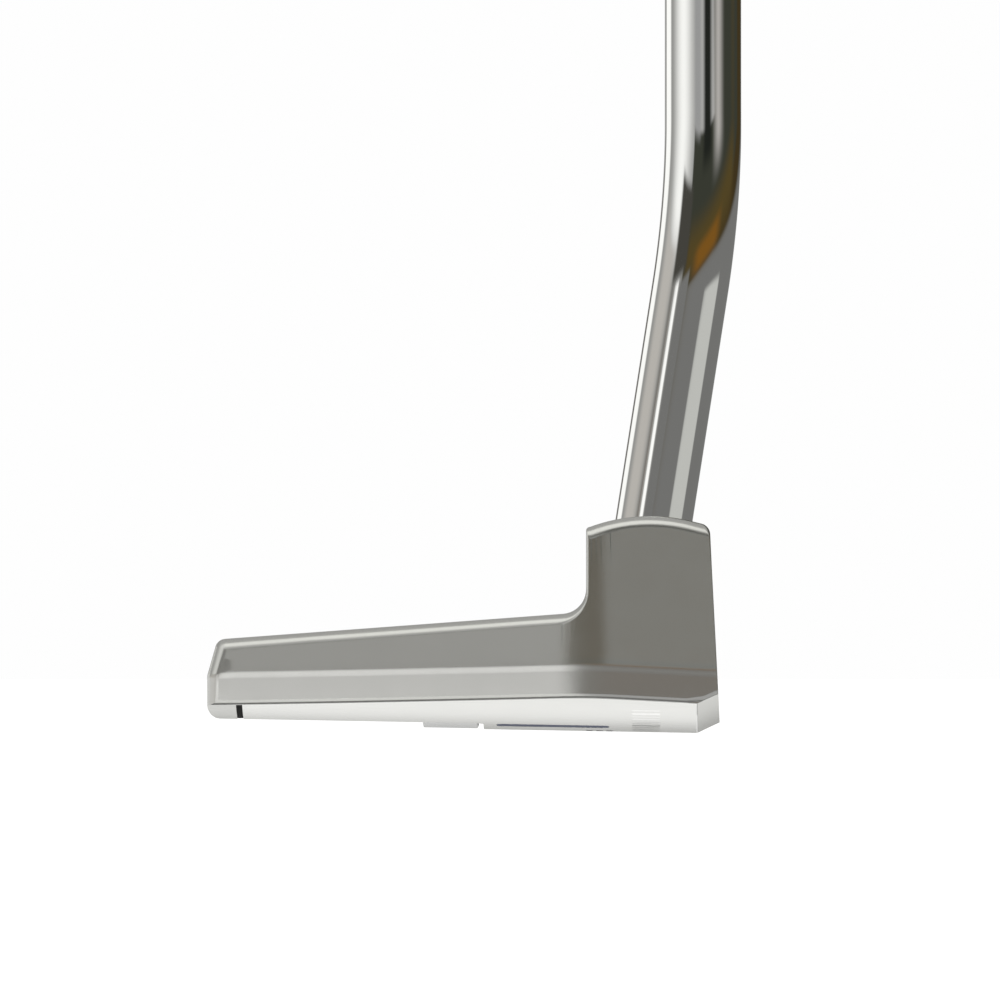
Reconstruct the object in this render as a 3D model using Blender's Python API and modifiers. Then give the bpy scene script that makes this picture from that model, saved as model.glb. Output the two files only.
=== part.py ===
"""Mallet putter, right-handed: a steel head with two wings, a bent steel shaft and a rubber grip.

Metres, +X the way the face points, +Y towards the heel, +Z up. The origin is on the flat in the
middle of the sole.
"""

import bmesh
import bpy
from math import acos, atan2, cos, pi, radians, sin, tan
from mathutils import Matrix, Vector

MM = 0.001

# Sole
SOLE_TILT = radians(1.03)
CAMBER_RADIUS = 270.0
CAMBER_STATIONS = (5.0, 12.0, 20.2, 27.0, 34.0, 41.0, 50.0, 56.0)
CHAMFER_X = 13.03
CHAMFER_RISE = 0.49

# Head seen from the toe
FACE_FOOT_X = 15.825
LOFT = radians(2.95)
CROWN_CENTRE = (7.3, 5.2)
CROWN_RADIUS = 21.0
FRONT_CORNER_RADIUS = 1.4
BLOCK_REAR_X = -0.47
RIM_RADIUS = 0.5
EDGE_RADIUS = 1.4
FACE_EDGE = 0.5
WING_FILLET = 3.0
WING_TOP_Z = 14.68
WING_SLOPE = 0.0739
TAIL_TOP_X = -45.3
TAIL_REAR_X = -46.56
CROWN_STEPS = 6
CORNER_STEPS = 3
EDGE_STEPS = 3
OUTLINE_STEPS = 5

# Head seen from above
OUTLINE_FRONT = (20.0, 43.95)
OUTLINE_CORNER = (-0.4, 48.0)
OUTLINE_REAR = (-56.0, 34.21)
OUTLINE_RADIUS = 18.0
BAND_HEIGHT = 4.2
DRAFT = radians(7.0)
WING_INNER_Y = 20.2
CAVITY_FRONT_X = -13.05
SHELF_TOP = 5.2

# Alignment deck
DECK_TOP_Z = 8.6
DECK_REAR_X = -20.45
DECK_SCREW_X = -7.2
LINE_FRONT_X = -2.2
LINE_REAR_X = -18.9

# Sole plate and its pocket
RIM_WIDTH = 0.8
POCKET_DEPTH = 2.2
POCKET_REAR_X = -43.05
PLATE_REAR_X = -42.3
PLATE_THICKNESS = 1.6
BOND_BOTTOM = 1.7
BOND_TOP = 2.05
GAP = 0.3
BADGE_X = -4.6
BADGE_Y = 17.6
MARK_X = (-0.14, 1.08, 2.3)
MARK_Y = 6.1
MARK_LENGTH = 5.2
MARK_WIDTH = 0.8

# Shaft
TIP_RADIUS = 4.7
WALL = 0.45
SHAFT_Y = 19.86
LOWER_LEAN = radians(8.85)
LIE_LEAN = radians(20.0)
BEND_POINT = (13.745, SHAFT_Y, 64.57)
BEND_RADIUS = 54.5
BORE_RADIUS = 5.0
BORE_BOTTOM_Z = 12.0
SHAFT_FOOT_Z = 12.6
EPOXY_INNER = 4.78
EPOXY_OUTER = 4.92
BEND_STEPS = 8
TUBE_SIDES = 24
SHAFT_END = 790.0
UPPER_LENGTH = 795.0
STEP_START = 150.0
STEP_GAP = 24.0
STEP_COUNT = 12
STEP_RISE = 0.2208
BUTT_RADIUS = 7.35

# Grip
GRIP_LENGTH = 267.0
GRIP_SIDES = 24
CAP_THICKNESS = 2.8
TAPE_INNER = 7.45
TAPE_OUTER = 7.62
GRIP_BORE = 7.75
# Distance from the grip's lower end, width, and depth to the flat and to the palm side
GRIP_SECTIONS = (
    (0.0, 17.4, 8.7, 8.9),
    (3.0, 18.6, 9.3, 9.5),
    (30.0, 20.0, 9.8, 10.2),
    (75.0, 22.0, 10.4, 11.2),
    (120.0, 23.8, 11.0, 12.2),
    (165.0, 25.2, 11.4, 13.2),
    (200.0, 26.2, 11.7, 14.6),
    (228.0, 26.8, 11.9, 16.8),
    (248.0, 27.0, 12.0, 18.6),
    (262.0, 27.0, 12.0, 19.2),
    (267.0, 26.4, 11.7, 18.8),
)


def clear_scene():
    for thing in list(bpy.data.objects):
        bpy.data.objects.remove(thing, do_unlink=True)


def new_collection(name, hidden=False):
    group = bpy.data.collections.new(name)
    bpy.context.scene.collection.children.link(group)
    group.hide_render = hidden
    return group


def material(name, colour, roughness, metallic):
    made = bpy.data.materials.new(name)
    made.use_nodes = True
    shader = made.node_tree.nodes["Principled BSDF"]
    shader.inputs["Base Color"].default_value = (*colour, 1.0)
    shader.inputs["Roughness"].default_value = roughness
    shader.inputs["Metallic"].default_value = metallic
    made.diffuse_color = (*colour, 1.0)
    return made


def object_from(name, shape, group):
    """Turns a bmesh in millimetres into an object in metres."""
    bmesh.ops.scale(shape, vec=(MM, MM, MM), verts=shape.verts)
    bmesh.ops.recalc_face_normals(shape, faces=shape.faces)
    mesh = bpy.data.meshes.new(name)
    shape.to_mesh(mesh)
    shape.free()
    thing = bpy.data.objects.new(name, mesh)
    group.objects.link(thing)
    return thing


def loft(rings):
    """A closed solid through rings of equal length, each a closed loop of points."""
    shape = bmesh.new()
    loops = [[shape.verts.new(point) for point in ring] for ring in rings]
    count = len(rings[0])
    for lower, upper in zip(loops, loops[1:]):
        for i in range(count):
            j = (i + 1) % count
            shape.faces.new((lower[i], lower[j], upper[j], upper[i]))
    shape.faces.new(list(reversed(loops[0])))
    shape.faces.new(loops[-1])
    return shape


def triangulated(shape):
    bmesh.ops.triangulate(shape, faces=shape.faces)
    return shape


def arc(centre, radius, start, end, steps):
    angles = [start + (end - start) * i / steps for i in range(steps + 1)]
    return [(centre[0] + radius * cos(a), centre[1] + radius * sin(a)) for a in angles]


def rounded_corner(before, corner, after, radius, steps):
    """The arc of this radius that rounds a corner of a polyline in a plane."""
    a = Vector(before) - Vector(corner)
    b = Vector(after) - Vector(corner)
    a.normalize()
    b.normalize()
    half = acos(max(-1.0, min(1.0, a.dot(b)))) / 2
    middle = (a + b).normalized()
    centre = Vector(corner) + middle * (radius / sin(half))
    first = Vector(corner) + a * (radius / tan(half)) - centre
    last = Vector(corner) + b * (radius / tan(half)) - centre
    start = atan2(first.y, first.x)
    turn = (atan2(last.y, last.x) - start + pi) % (2 * pi) - pi
    return arc(centre, radius, start, start + turn, steps)


def face_x(z):
    return FACE_FOOT_X - tan(LOFT) * z


def wing_top(x):
    return WING_TOP_Z + WING_SLOPE * x


def side_profile(inner=0.0):
    """The head's outline seen from the toe, from the foot of the face over the top to the tail.

    inner moves the outline into the metal, by half as much at the face.
    """
    radius = CROWN_RADIUS - inner
    rear_x = BLOCK_REAR_X + inner
    start = acos((12.2 - CROWN_CENTRE[0]) / CROWN_RADIUS)
    end = acos((rear_x + RIM_RADIUS - CROWN_CENTRE[0]) / radius)
    crown = arc(CROWN_CENTRE, radius, start, end, CROWN_STEPS)
    foot = (face_x(-9.0) - inner * FACE_EDGE, -9.0)
    front_top = (14.55 - inner * FACE_EDGE, 25.05 - inner)
    front_radius = max(0.08, FRONT_CORNER_RADIUS - inner)
    points = [foot]
    points += [(face_x(z) - inner * FACE_EDGE, z) for z in (3.4, 7.7, 16.0)]
    points += rounded_corner(foot, front_top, crown[0], front_radius, CORNER_STEPS)
    points += crown
    rim_radius = max(0.08, RIM_RADIUS - inner)
    rim = (rear_x, crown[-1][1] - 0.05)
    points += rounded_corner(crown[-1], rim, (rear_x, 0.0), rim_radius, 1)[1:]
    wing_foot = (rear_x, wing_top(rear_x) - inner)
    tail_top = (TAIL_TOP_X + inner * 0.85, wing_top(TAIL_TOP_X) - inner)
    fillet = WING_FILLET + inner
    points += rounded_corner(points[-1], wing_foot, tail_top, fillet, CORNER_STEPS + 1)
    rear = TAIL_REAR_X + inner
    points += rounded_corner(wing_foot, tail_top, (rear, 6.9), max(0.1, 1.3 - inner), 2)
    points += [(rear, 6.7), (rear, 4.2), (rear + 0.25, 2.5), (rear + 1.1, 1.4)]
    points.append((rear + 1.7, -9.0))
    return points


def camber(y):
    distance = abs(y)
    return 0.0 if distance <= CAMBER_STATIONS[0] + 1e-6 else distance**2 / (2 * CAMBER_RADIUS)


def sole_z(x, y):
    """The sole's height, with the chamfer under the leading edge."""
    return camber(y) - tan(SOLE_TILT) * x + max(0.0, x - CHAMFER_X) * CHAMFER_RISE


def half_outline():
    """The head's outline from above on one side: front, widest corner, rear."""
    corner = rounded_corner(
        OUTLINE_FRONT, OUTLINE_CORNER, OUTLINE_REAR, OUTLINE_RADIUS, OUTLINE_STEPS
    )
    return [OUTLINE_FRONT, *corner, OUTLINE_REAR]


def full_outline():
    half = half_outline()
    return [(x, y) for x, y in half] + [(x, -y) for x, y in reversed(half)]


def outline_y(x):
    """The outline's half-width at one station."""
    half = half_outline()
    for (x1, y1), (x2, y2) in zip(half, half[1:]):
        if x >= x2:
            return y1 + (y2 - y1) * (x - x1) / (x2 - x1)
    return half[-1][1]


def crease_z(x, y):
    return sole_z(min(x, CHAMFER_X), y) + BAND_HEIGHT


def wall_y(x, z):
    """How far the toe or heel wall stands from the middle at this station and height."""
    y = outline_y(x)
    return y - max(0.0, z - crease_z(x, y)) * tan(DRAFT) * 1.02


def inset(points, distances):
    """A closed outline moved inwards, by a distance of its own at each point."""
    count = len(points)
    area = sum(
        points[i][0] * points[(i + 1) % count][1] - points[(i + 1) % count][0] * points[i][1]
        for i in range(count)
    )
    side = 1.0 if area > 0 else -1.0
    moved = []
    for i, point in enumerate(points):
        before = Vector(point) - Vector(points[i - 1])
        after = Vector(points[(i + 1) % count]) - Vector(point)
        before.normalize()
        after.normalize()
        middle = (before + after).normalized()
        normal = Vector((-middle.y, middle.x)) * side
        reach = distances[i] / max(0.3, middle.dot(before))
        moved.append(tuple(Vector(point) + normal * reach))
    return moved


def skirt():
    """The head's sides: an upright band that follows the sole, and a drafted wall above it."""
    outline = full_outline()
    crease = [crease_z(x, y) for x, y in outline]
    top = inset(outline, [(32.0 - z) * tan(DRAFT) for z in crease])
    rings = [
        [(x, y, -12.0) for x, y in outline],
        [(x, y, z) for (x, y), z in zip(outline, crease)],
        [(x, y, 32.0) for x, y in top],
    ]
    return triangulated(loft(rings))


def filled_profile():
    """The side profile drawn out along Y, rounded where it meets the toe and heel walls."""
    outer = [(x, 60.0, z) for x, z in side_profile(EDGE_RADIUS * 1.14)]
    rings = [outer]
    for i in range(-1, EDGE_STEPS + 1):
        turn = max(0, i) / EDGE_STEPS * pi / 2
        inner = EDGE_RADIUS * (1 - sin(turn))
        depth = EDGE_RADIUS * (1 - cos(turn))
        if i < 0:
            inner = EDGE_RADIUS * 1.14
            depth = -0.04
        rings.append([(x, wall_y(x, z) - depth, z) for x, z in side_profile(inner)])
    mirrored = [[(x, -y, z) for x, y, z in ring] for ring in reversed(rings)]
    return triangulated(loft(rings + mirrored))


def slab_over_sole(low, high):
    """The layer between two copies of the sole, lifted by low and by high."""
    across = [-y for y in reversed(CAMBER_STATIONS)] + list(CAMBER_STATIONS)
    rings = []
    for x in (-60.0, CHAMFER_X, 24.0):
        bottom = [(x, y, sole_z(x, y) + low) for y in across]
        top = [(x, y, sole_z(x, y) + high) for y in reversed(across)]
        rings.append(bottom + top)
    return loft(rings)


def prism_y(profile, low, high):
    """A side-view outline in X and Z, drawn out along Y."""
    return loft([[(x, low, z) for x, z in profile], [(x, high, z) for x, z in profile]])


def prism_z(outline, low, high):
    return loft([[(x, y, low) for x, y in outline], [(x, y, high) for x, y in outline]])


def rectangle(low, high):
    return [(low[0], low[1]), (high[0], low[1]), (high[0], high[1]), (low[0], high[1])]


def box(low, high):
    return prism_z(rectangle(low, high), low[2], high[2])


def cylinder(radius, start, end, end_radius=None, sides=24):
    """A capped cylinder or cone between two points."""
    shape = bmesh.new()
    start = Vector(start)
    end = Vector(end)
    bmesh.ops.create_cone(
        shape,
        cap_ends=True,
        segments=sides,
        radius1=radius,
        radius2=radius if end_radius is None else end_radius,
        depth=(end - start).length,
    )
    turn = (end - start).to_track_quat("Z", "Y").to_matrix().to_4x4()
    bmesh.ops.transform(
        shape, matrix=Matrix.Translation((start + end) / 2) @ turn, verts=shape.verts
    )
    return shape


def baked(thing):
    """Replaces an object's mesh by the result of its modifiers."""
    graph = bpy.context.evaluated_depsgraph_get()
    mesh = bpy.data.meshes.new_from_object(thing.evaluated_get(graph))
    thing.modifiers.clear()
    thing.data = mesh
    return thing


def shaped(thing, tools, group, operation="DIFFERENCE"):
    """Cuts each bmesh out of the object, or keeps or adds it, and keeps the result."""
    for i, shape in enumerate(tools):
        name = f"{thing.name}_{operation.lower()}_{len(group.objects)}"
        tool = object_from(name, shape, group)
        tool.display_type = "WIRE"
        step = thing.modifiers.new(f"{operation.lower()} {i}", "BOOLEAN")
        step.operation = operation
        step.solver = "EXACT"
        step.object = tool
    return baked(thing)


def tidied(thing):
    """Joins faces that lie in one plane and points that coincide."""
    shape = bmesh.new()
    shape.from_mesh(thing.data)
    bmesh.ops.remove_doubles(shape, verts=shape.verts, dist=0.002 * MM)
    bmesh.ops.dissolve_limit(
        shape, angle_limit=radians(0.05), verts=shape.verts, edges=shape.edges
    )
    shape.to_mesh(thing.data)
    shape.free()


def rounded(thing, chooser, width, segments=1):
    """Rounds the edges that chooser picks."""
    shape = bmesh.new()
    shape.from_mesh(thing.data)
    shape.normal_update()
    edges = [edge for edge in shape.edges if len(edge.link_faces) == 2 and chooser(edge)]
    bmesh.ops.bevel(
        shape,
        geom=edges,
        offset=width * MM,
        offset_type="OFFSET",
        segments=segments,
        profile=0.5,
        affect="EDGES",
        clamp_overlap=True,
    )
    bmesh.ops.remove_doubles(shape, verts=shape.verts, dist=0.002 * MM)
    shape.to_mesh(thing.data)
    shape.free()


def on_wall(face):
    """Whether a face belongs to the head's toe or heel wall."""
    return abs(face.normal.y) > 0.6 and abs(face.calc_center_median().y) > 30 * MM


def is_sole_rim(edge):
    a, b = edge.link_faces
    if edge.calc_face_angle(0.0) < radians(30) or on_wall(a) == on_wall(b):
        return False
    other = b if on_wall(a) else a
    return other.normal.z < -0.5


def is_inner_top(edge):
    """The upper and rear edges of the gap between the wings."""
    first, last = (vert.co / MM for vert in edge.verts)
    middle = (first + last) / 2
    on_plane = abs(abs(middle.y) - WING_INNER_Y) < 0.01 and abs(first.y - last.y) < 0.01
    return on_plane and middle.x < -4.0 and middle.z > 7.0 and edge.calc_face_angle(0.0) > 0.5


def plate_outline(margin, front_x, rear_x, inner_y, gap_x, corner):
    """The U of the sole plate seen from above: across the front and along both wings."""
    half = inset(full_outline(), [margin] * len(full_outline()))[: OUTLINE_STEPS + 3]
    side = [front_cut(half, front_x)]
    side += [point for point in half if rear_x < point[0] < front_x]
    side.append(front_cut(half, rear_x))
    side.append((rear_x, inner_y))
    side += rounded_corner((rear_x, inner_y), (gap_x, inner_y), (gap_x, 0.0), corner, 3)
    return side + [(x, -y) for x, y in reversed(side)]


def front_cut(half, x):
    """The point of an outline at one station."""
    for (x1, y1), (x2, y2) in zip(half, half[1:]):
        if x1 >= x >= x2:
            return (x, y1 + (y2 - y1) * (x - x1) / (x2 - x1))
    return half[-1]


def sheet(name, outline, low, high, group, cutters):
    """A layer of the sole with the outline given from above."""
    thing = object_from(name, prism_z(outline, -12.0, 14.0), group)
    shaped(thing, [slab_over_sole(low, high)], cutters, "INTERSECT")
    if group is cutters:
        thing.display_type = "WIRE"
    return thing


def shape_of(thing):
    """A copy of an object's mesh as a bmesh in millimetres."""
    shape = bmesh.new()
    shape.from_mesh(thing.data)
    bmesh.ops.scale(shape, vec=(1 / MM, 1 / MM, 1 / MM), verts=shape.verts)
    return shape


def wing_hollow(side):
    """The hollow in one wing, open towards the sole plate."""
    half = inset(full_outline(), [4.0] * len(full_outline()))[: OUTLINE_STEPS + 3]
    outer = [front_cut(half, x) for x in (-4.0, -39.5)]
    plan = [*outer, (-39.5, WING_INNER_Y + 4.0), (-4.0, WING_INNER_Y + 4.0)]
    bottom = [(x, side * y, -4.0) for x, y in plan]
    top = [(x, side * (y - 1.0 * (i < 2)), wing_top(x) - 2.8) for i, (x, y) in enumerate(plan)]
    return triangulated(loft([bottom, top]))


def on_lower_axis(distance):
    """A point of the shaft's lower axis, this far below the bend's corner."""
    return Vector(BEND_POINT) - LOWER * distance


LOWER = Vector((sin(LOWER_LEAN), 0.0, cos(LOWER_LEAN)))
UPPER = Vector((0.0, sin(LIE_LEAN), cos(LIE_LEAN)))


def depth_at(z):
    """How far below the bend's corner the lower axis reaches this height."""
    return (BEND_POINT[2] - z) / LOWER.z


def head_body(group, cutters):
    body = object_from("head_body", filled_profile(), group)
    shaped(body, [skirt(), slab_over_sole(0.0, 60.0)], cutters, "INTERSECT")
    tidied(body)
    rounded(body, is_sole_rim, 0.5)
    rear = -60.0
    gap = [(rear, WING_INNER_Y)]
    gap += rounded_corner(gap[0], (CAVITY_FRONT_X, WING_INNER_Y), (CAVITY_FRONT_X, 0.0), 1.4, 3)
    gap = gap + [(x, -y) for x, y in reversed(gap)]
    above = rectangle((-16.0, -WING_INNER_Y), (BLOCK_REAR_X, WING_INNER_Y))
    shaped(body, [prism_z(gap, -12.0, 40.0), prism_z(above, SHELF_TOP, 40.0)], cutters)
    rounded(body, is_inner_top, 0.8)
    pocket_plan = plate_outline(
        RIM_WIDTH, CHAMFER_X, POCKET_REAR_X, WING_INNER_Y - 1.0, CAVITY_FRONT_X - 1.0, 0.4
    )
    pocket = sheet("pocket_tool", pocket_plan, -3.0, POCKET_DEPTH, cutters, cutters)
    axis_foot = on_lower_axis(depth_at(BORE_BOTTOM_Z))
    tools = [
        shape_of(pocket),
        wing_hollow(1.0),
        wing_hollow(-1.0),
        box((2.6, -39.0, -4.0), (10.6, -4.0, 20.5)),
        box((2.6, 28.5, -4.0), (10.6, 39.0, 20.5)),
        cylinder(BORE_RADIUS, axis_foot, on_lower_axis(depth_at(40.0))),
    ]
    for side in (-1, 1):
        tools.append(cylinder(1.8, (DECK_SCREW_X, side * 12.0, 0.0), (DECK_SCREW_X, side * 12.0, 9.0)))
        tools.append(
            cylinder(3.6, (DECK_SCREW_X, side * 12.0, 1.4), (DECK_SCREW_X, side * 12.0, 4.4), 1.5)
        )
    shaped(body, tools, cutters)
    return body


def sole_pieces(group, cutters):
    outline = plate_outline(
        RIM_WIDTH + GAP, CHAMFER_X - GAP, PLATE_REAR_X, WING_INNER_Y, CAVITY_FRONT_X, 1.4
    )
    plate = sheet("sole_plate", outline, 0.0, PLATE_THICKNESS, group, cutters)
    bond_outline = plate_outline(
        RIM_WIDTH + 1.0, CHAMFER_X - 1.0, PLATE_REAR_X + 1.0, WING_INNER_Y + 0.8,
        CAVITY_FRONT_X + 0.8, 1.4,
    )
    bond = sheet("sole_plate_bond", bond_outline, BOND_BOTTOM, BOND_TOP, group, cutters)
    inlays = []
    recesses = []
    for side, place in ((-1, "toe"), (1, "heel")):
        stroke = rounded_rectangle(BADGE_X, side * BADGE_Y, 13.6, 4.4, 0.8)
        inlays.append(sheet(f"sole_badge_{place}", stroke, 0.02, 0.3, group, cutters))
        wider = rounded_rectangle(BADGE_X, side * BADGE_Y, 13.7, 4.5, 0.85)
        recesses.append(shape_of(sheet("badge_tool", wider, -1.0, 0.35, cutters, cutters)))
        for i, x in enumerate(MARK_X, 1):
            mark = rounded_rectangle(x, side * MARK_Y, MARK_WIDTH, MARK_LENGTH, 0.2)
            inlays.append(sheet(f"sole_mark_{place}_{i}", mark, 0.02, 0.3, group, cutters))
            wider = rounded_rectangle(
                x, side * MARK_Y, MARK_WIDTH + 0.1, MARK_LENGTH + 0.1, 0.25
            )
            recesses.append(shape_of(sheet("mark_tool", wider, -1.0, 0.35, cutters, cutters)))
    shaped(plate, recesses, cutters)
    return plate, bond, inlays


def rounded_rectangle(x, y, length, width, radius):
    corners = rectangle((x - length / 2, y - width / 2), (x + length / 2, y + width / 2))
    points = []
    for i, corner in enumerate(corners):
        points += rounded_corner(corners[i - 1], corner, corners[(i + 1) % 4], radius, 2)
    return points


def deck_top(x):
    return DECK_TOP_Z + 0.05 * x


def deck_pieces(group, cutters):
    front = BLOCK_REAR_X - GAP - 0.2
    profile = [
        (front, SHELF_TOP + GAP),
        (front, deck_top(front) - 0.6),
        (front - 0.6, deck_top(front - 0.6)),
        (DECK_REAR_X + 0.8, deck_top(DECK_REAR_X + 0.8)),
        (DECK_REAR_X, deck_top(DECK_REAR_X) - 0.8),
        (DECK_REAR_X, 0.9),
        (DECK_REAR_X + 0.5, 0.42),
        (CAVITY_FRONT_X - 1.1, 0.42),
        (CAVITY_FRONT_X - 0.73, 1.2),
        (CAVITY_FRONT_X - 0.73, SHELF_TOP + GAP),
    ]
    half_width = WING_INNER_Y - GAP
    deck = object_from("alignment_deck", prism_y(profile, -half_width, half_width), group)
    line = rectangle((LINE_REAR_X, -0.75), (LINE_FRONT_X, 0.75))
    groove = rectangle((LINE_REAR_X - 0.05, -0.8), (LINE_FRONT_X + 0.05, 0.8))
    tools = [sloped_prism(groove, -0.5, 4.0)]
    for side in (-1, 1):
        foot = (DECK_SCREW_X, side * 12.0, 3.0)
        tools.append(cylinder(1.8, foot, (DECK_SCREW_X, side * 12.0, 7.6)))
    shaped(deck, tools, cutters)
    inlay = object_from("sight_line_inlay", sloped_prism(line, -0.45, -0.02), group)
    screws = [deck_screw(side, place, group, cutters) for side, place in ((-1, "toe"), (1, "heel"))]
    return deck, inlay, screws


def sloped_prism(outline, low, high):
    """A block with this outline whose bottom and top run along the deck's top."""
    return loft(
        [
            [(x, y, deck_top(x) + low) for x, y in outline],
            [(x, y, deck_top(x) + high) for x, y in outline],
        ]
    )


def deck_screw(side, place, group, cutters):
    """A countersunk screw with a hexagon socket, driven up from below."""
    x, y = DECK_SCREW_X, side * 12.0
    screw = object_from(f"deck_screw_{place}", cylinder(2.55, (x, y, 2.78), (x, y, 4.1), 1.6), group)
    shaped(screw, [cylinder(1.4, (x, y, 3.5), (x, y, 7.3))], cutters, "UNION")
    shaped(screw, [cylinder(1.0, (x, y, 2.0), (x, y, 3.7), sides=6)], cutters)
    return screw


def bend_points(steps):
    """The shaft's axis through the bend, from the lower to the upper straight."""
    angle = LOWER.angle(UPPER)
    reach = BEND_RADIUS * tan(angle / 2)
    start = Vector(BEND_POINT) - LOWER * reach
    inward = (UPPER - LOWER * LOWER.dot(UPPER)).normalized()
    turns = [angle * i / steps for i in range(steps + 1)]
    return [start + BEND_RADIUS * (sin(a) * LOWER + (1 - cos(a)) * inward) for a in turns]


def shaft_path():
    """Points of the shaft's axis, each with its radius."""
    points = [(on_lower_axis(depth_at(SHAFT_FOOT_Z)), TIP_RADIUS)]
    points += [(point, TIP_RADIUS) for point in bend_points(BEND_STEPS)]
    corner = Vector(BEND_POINT)
    for i in range(STEP_COUNT):
        along = STEP_START + i * STEP_GAP
        points.append((corner + UPPER * along, TIP_RADIUS + i * STEP_RISE))
        points.append((corner + UPPER * (along + 0.8), TIP_RADIUS + (i + 1) * STEP_RISE))
    points.append((corner + UPPER * SHAFT_END, BUTT_RADIUS))
    return points


def tube(name, path, wall, group):
    """An open-ended tube along a path, with a radius at each point."""
    curve = bpy.data.curves.new(name, "CURVE")
    curve.dimensions = "3D"
    curve.bevel_depth = TIP_RADIUS * MM
    curve.bevel_resolution = TUBE_SIDES // 2 - 2
    spline = curve.splines.new("POLY")
    spline.points.add(len(path) - 1)
    for point, (place, radius) in zip(spline.points, path):
        point.co = (*(place * MM), 1.0)
        point.radius = radius / TIP_RADIUS
    guide = bpy.data.objects.new(name, curve)
    group.objects.link(guide)
    graph = bpy.context.evaluated_depsgraph_get()
    mesh = bpy.data.meshes.new_from_object(guide.evaluated_get(graph))
    bpy.data.objects.remove(guide, do_unlink=True)
    thing = bpy.data.objects.new(name, mesh)
    group.objects.link(thing)
    skin = thing.modifiers.new("wall", "SOLIDIFY")
    skin.thickness = wall * MM
    skin.offset = -1.0
    skin.use_even_offset = True
    return thing


def sleeve(name, inner, outer, low, high, group):
    """A short tube along local Z."""
    thing = object_from(name, cylinder(outer, (0, 0, low), (0, 0, high)), group)
    step = thing.modifiers.new("bore", "BOOLEAN")
    step.solver = "EXACT"
    step.object = object_from(
        f"{name}_bore", cylinder(inner, (0, 0, low - 5), (0, 0, high + 5)), group
    )
    bore = step.object
    baked(thing)
    bpy.data.objects.remove(bore, do_unlink=True)
    return thing


def along_shaft(thing):
    """Sets a piece modelled along Z on the shaft's upper axis, from the bend's corner."""
    thing.location = Vector(BEND_POINT) * MM
    thing.rotation_euler = (-LIE_LEAN, 0.0, 0.0)


def along_tip(thing, z):
    """Sets a piece modelled along Z on the shaft's lower axis, with its foot at height z."""
    thing.location = on_lower_axis(depth_at(z)) * MM
    thing.rotation_euler = (0.0, LOWER_LEAN, 0.0)


def grip_ring(along, width, front, back):
    """One section of the grip: flat towards the golfer's thumbs, rounded towards the palms."""
    ring = []
    for i in range(GRIP_SIDES):
        a = 2 * pi * i / GRIP_SIDES
        power = 0.42 if sin(a) < 0 else 0.9
        reach = front if sin(a) < 0 else back
        x = width / 2 * abs(cos(a)) ** power * (1 if cos(a) > 0 else -1)
        y = reach * abs(sin(a)) ** power * (1 if sin(a) > 0 else -1)
        ring.append((x, y, along))
    return ring


def grip_pieces(group):
    start = UPPER_LENGTH - CAP_THICKNESS - GAP - GRIP_LENGTH
    rings = [grip_ring(start + s, w, f, b) for s, w, f, b in GRIP_SECTIONS]
    grip = object_from("grip", loft(rings), group)
    bore = object_from(
        "grip_bore", cylinder(GRIP_BORE, (0, 0, start - 5), (0, 0, start + GRIP_LENGTH + 5)), group
    )
    step = grip.modifiers.new("bore", "BOOLEAN")
    step.solver = "EXACT"
    step.object = bore
    baked(grip)
    bpy.data.objects.remove(bore, do_unlink=True)
    cap = grip_cap(start + GRIP_LENGTH + GAP, group)
    tape = sleeve("grip_tape", TAPE_INNER, TAPE_OUTER, start + 2, SHAFT_END - 1, group)
    band = sleeve("shaft_band", TAPE_INNER, TAPE_OUTER, start - 60, start - 25, group)
    for thing in (grip, cap, tape, band):
        along_shaft(thing)
    return grip, cap, tape, band


def grip_cap(foot, group):
    _, width, front, back = GRIP_SECTIONS[-1]
    rings = [
        grip_ring(foot, width, front, back),
        grip_ring(foot + CAP_THICKNESS - 1.0, width, front, back),
        grip_ring(foot + CAP_THICKNESS, width - 2.0, front - 1.0, back - 1.0),
    ]
    cap = object_from("grip_cap", loft(rings), group)
    plug = object_from("plug", cylinder(6.5, (0, 0, foot - 9), (0, 0, foot + 1)), group)
    vent = object_from("vent", cylinder(1.2, (0, 0, foot - 20), (0, 0, foot + 9), sides=12), group)
    for other, operation in ((plug, "UNION"), (vent, "DIFFERENCE")):
        step = cap.modifiers.new(other.name, "BOOLEAN")
        step.solver = "EXACT"
        step.operation = operation
        step.object = other
    baked(cap)
    bpy.data.objects.remove(plug, do_unlink=True)
    bpy.data.objects.remove(vent, do_unlink=True)
    return cap


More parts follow.
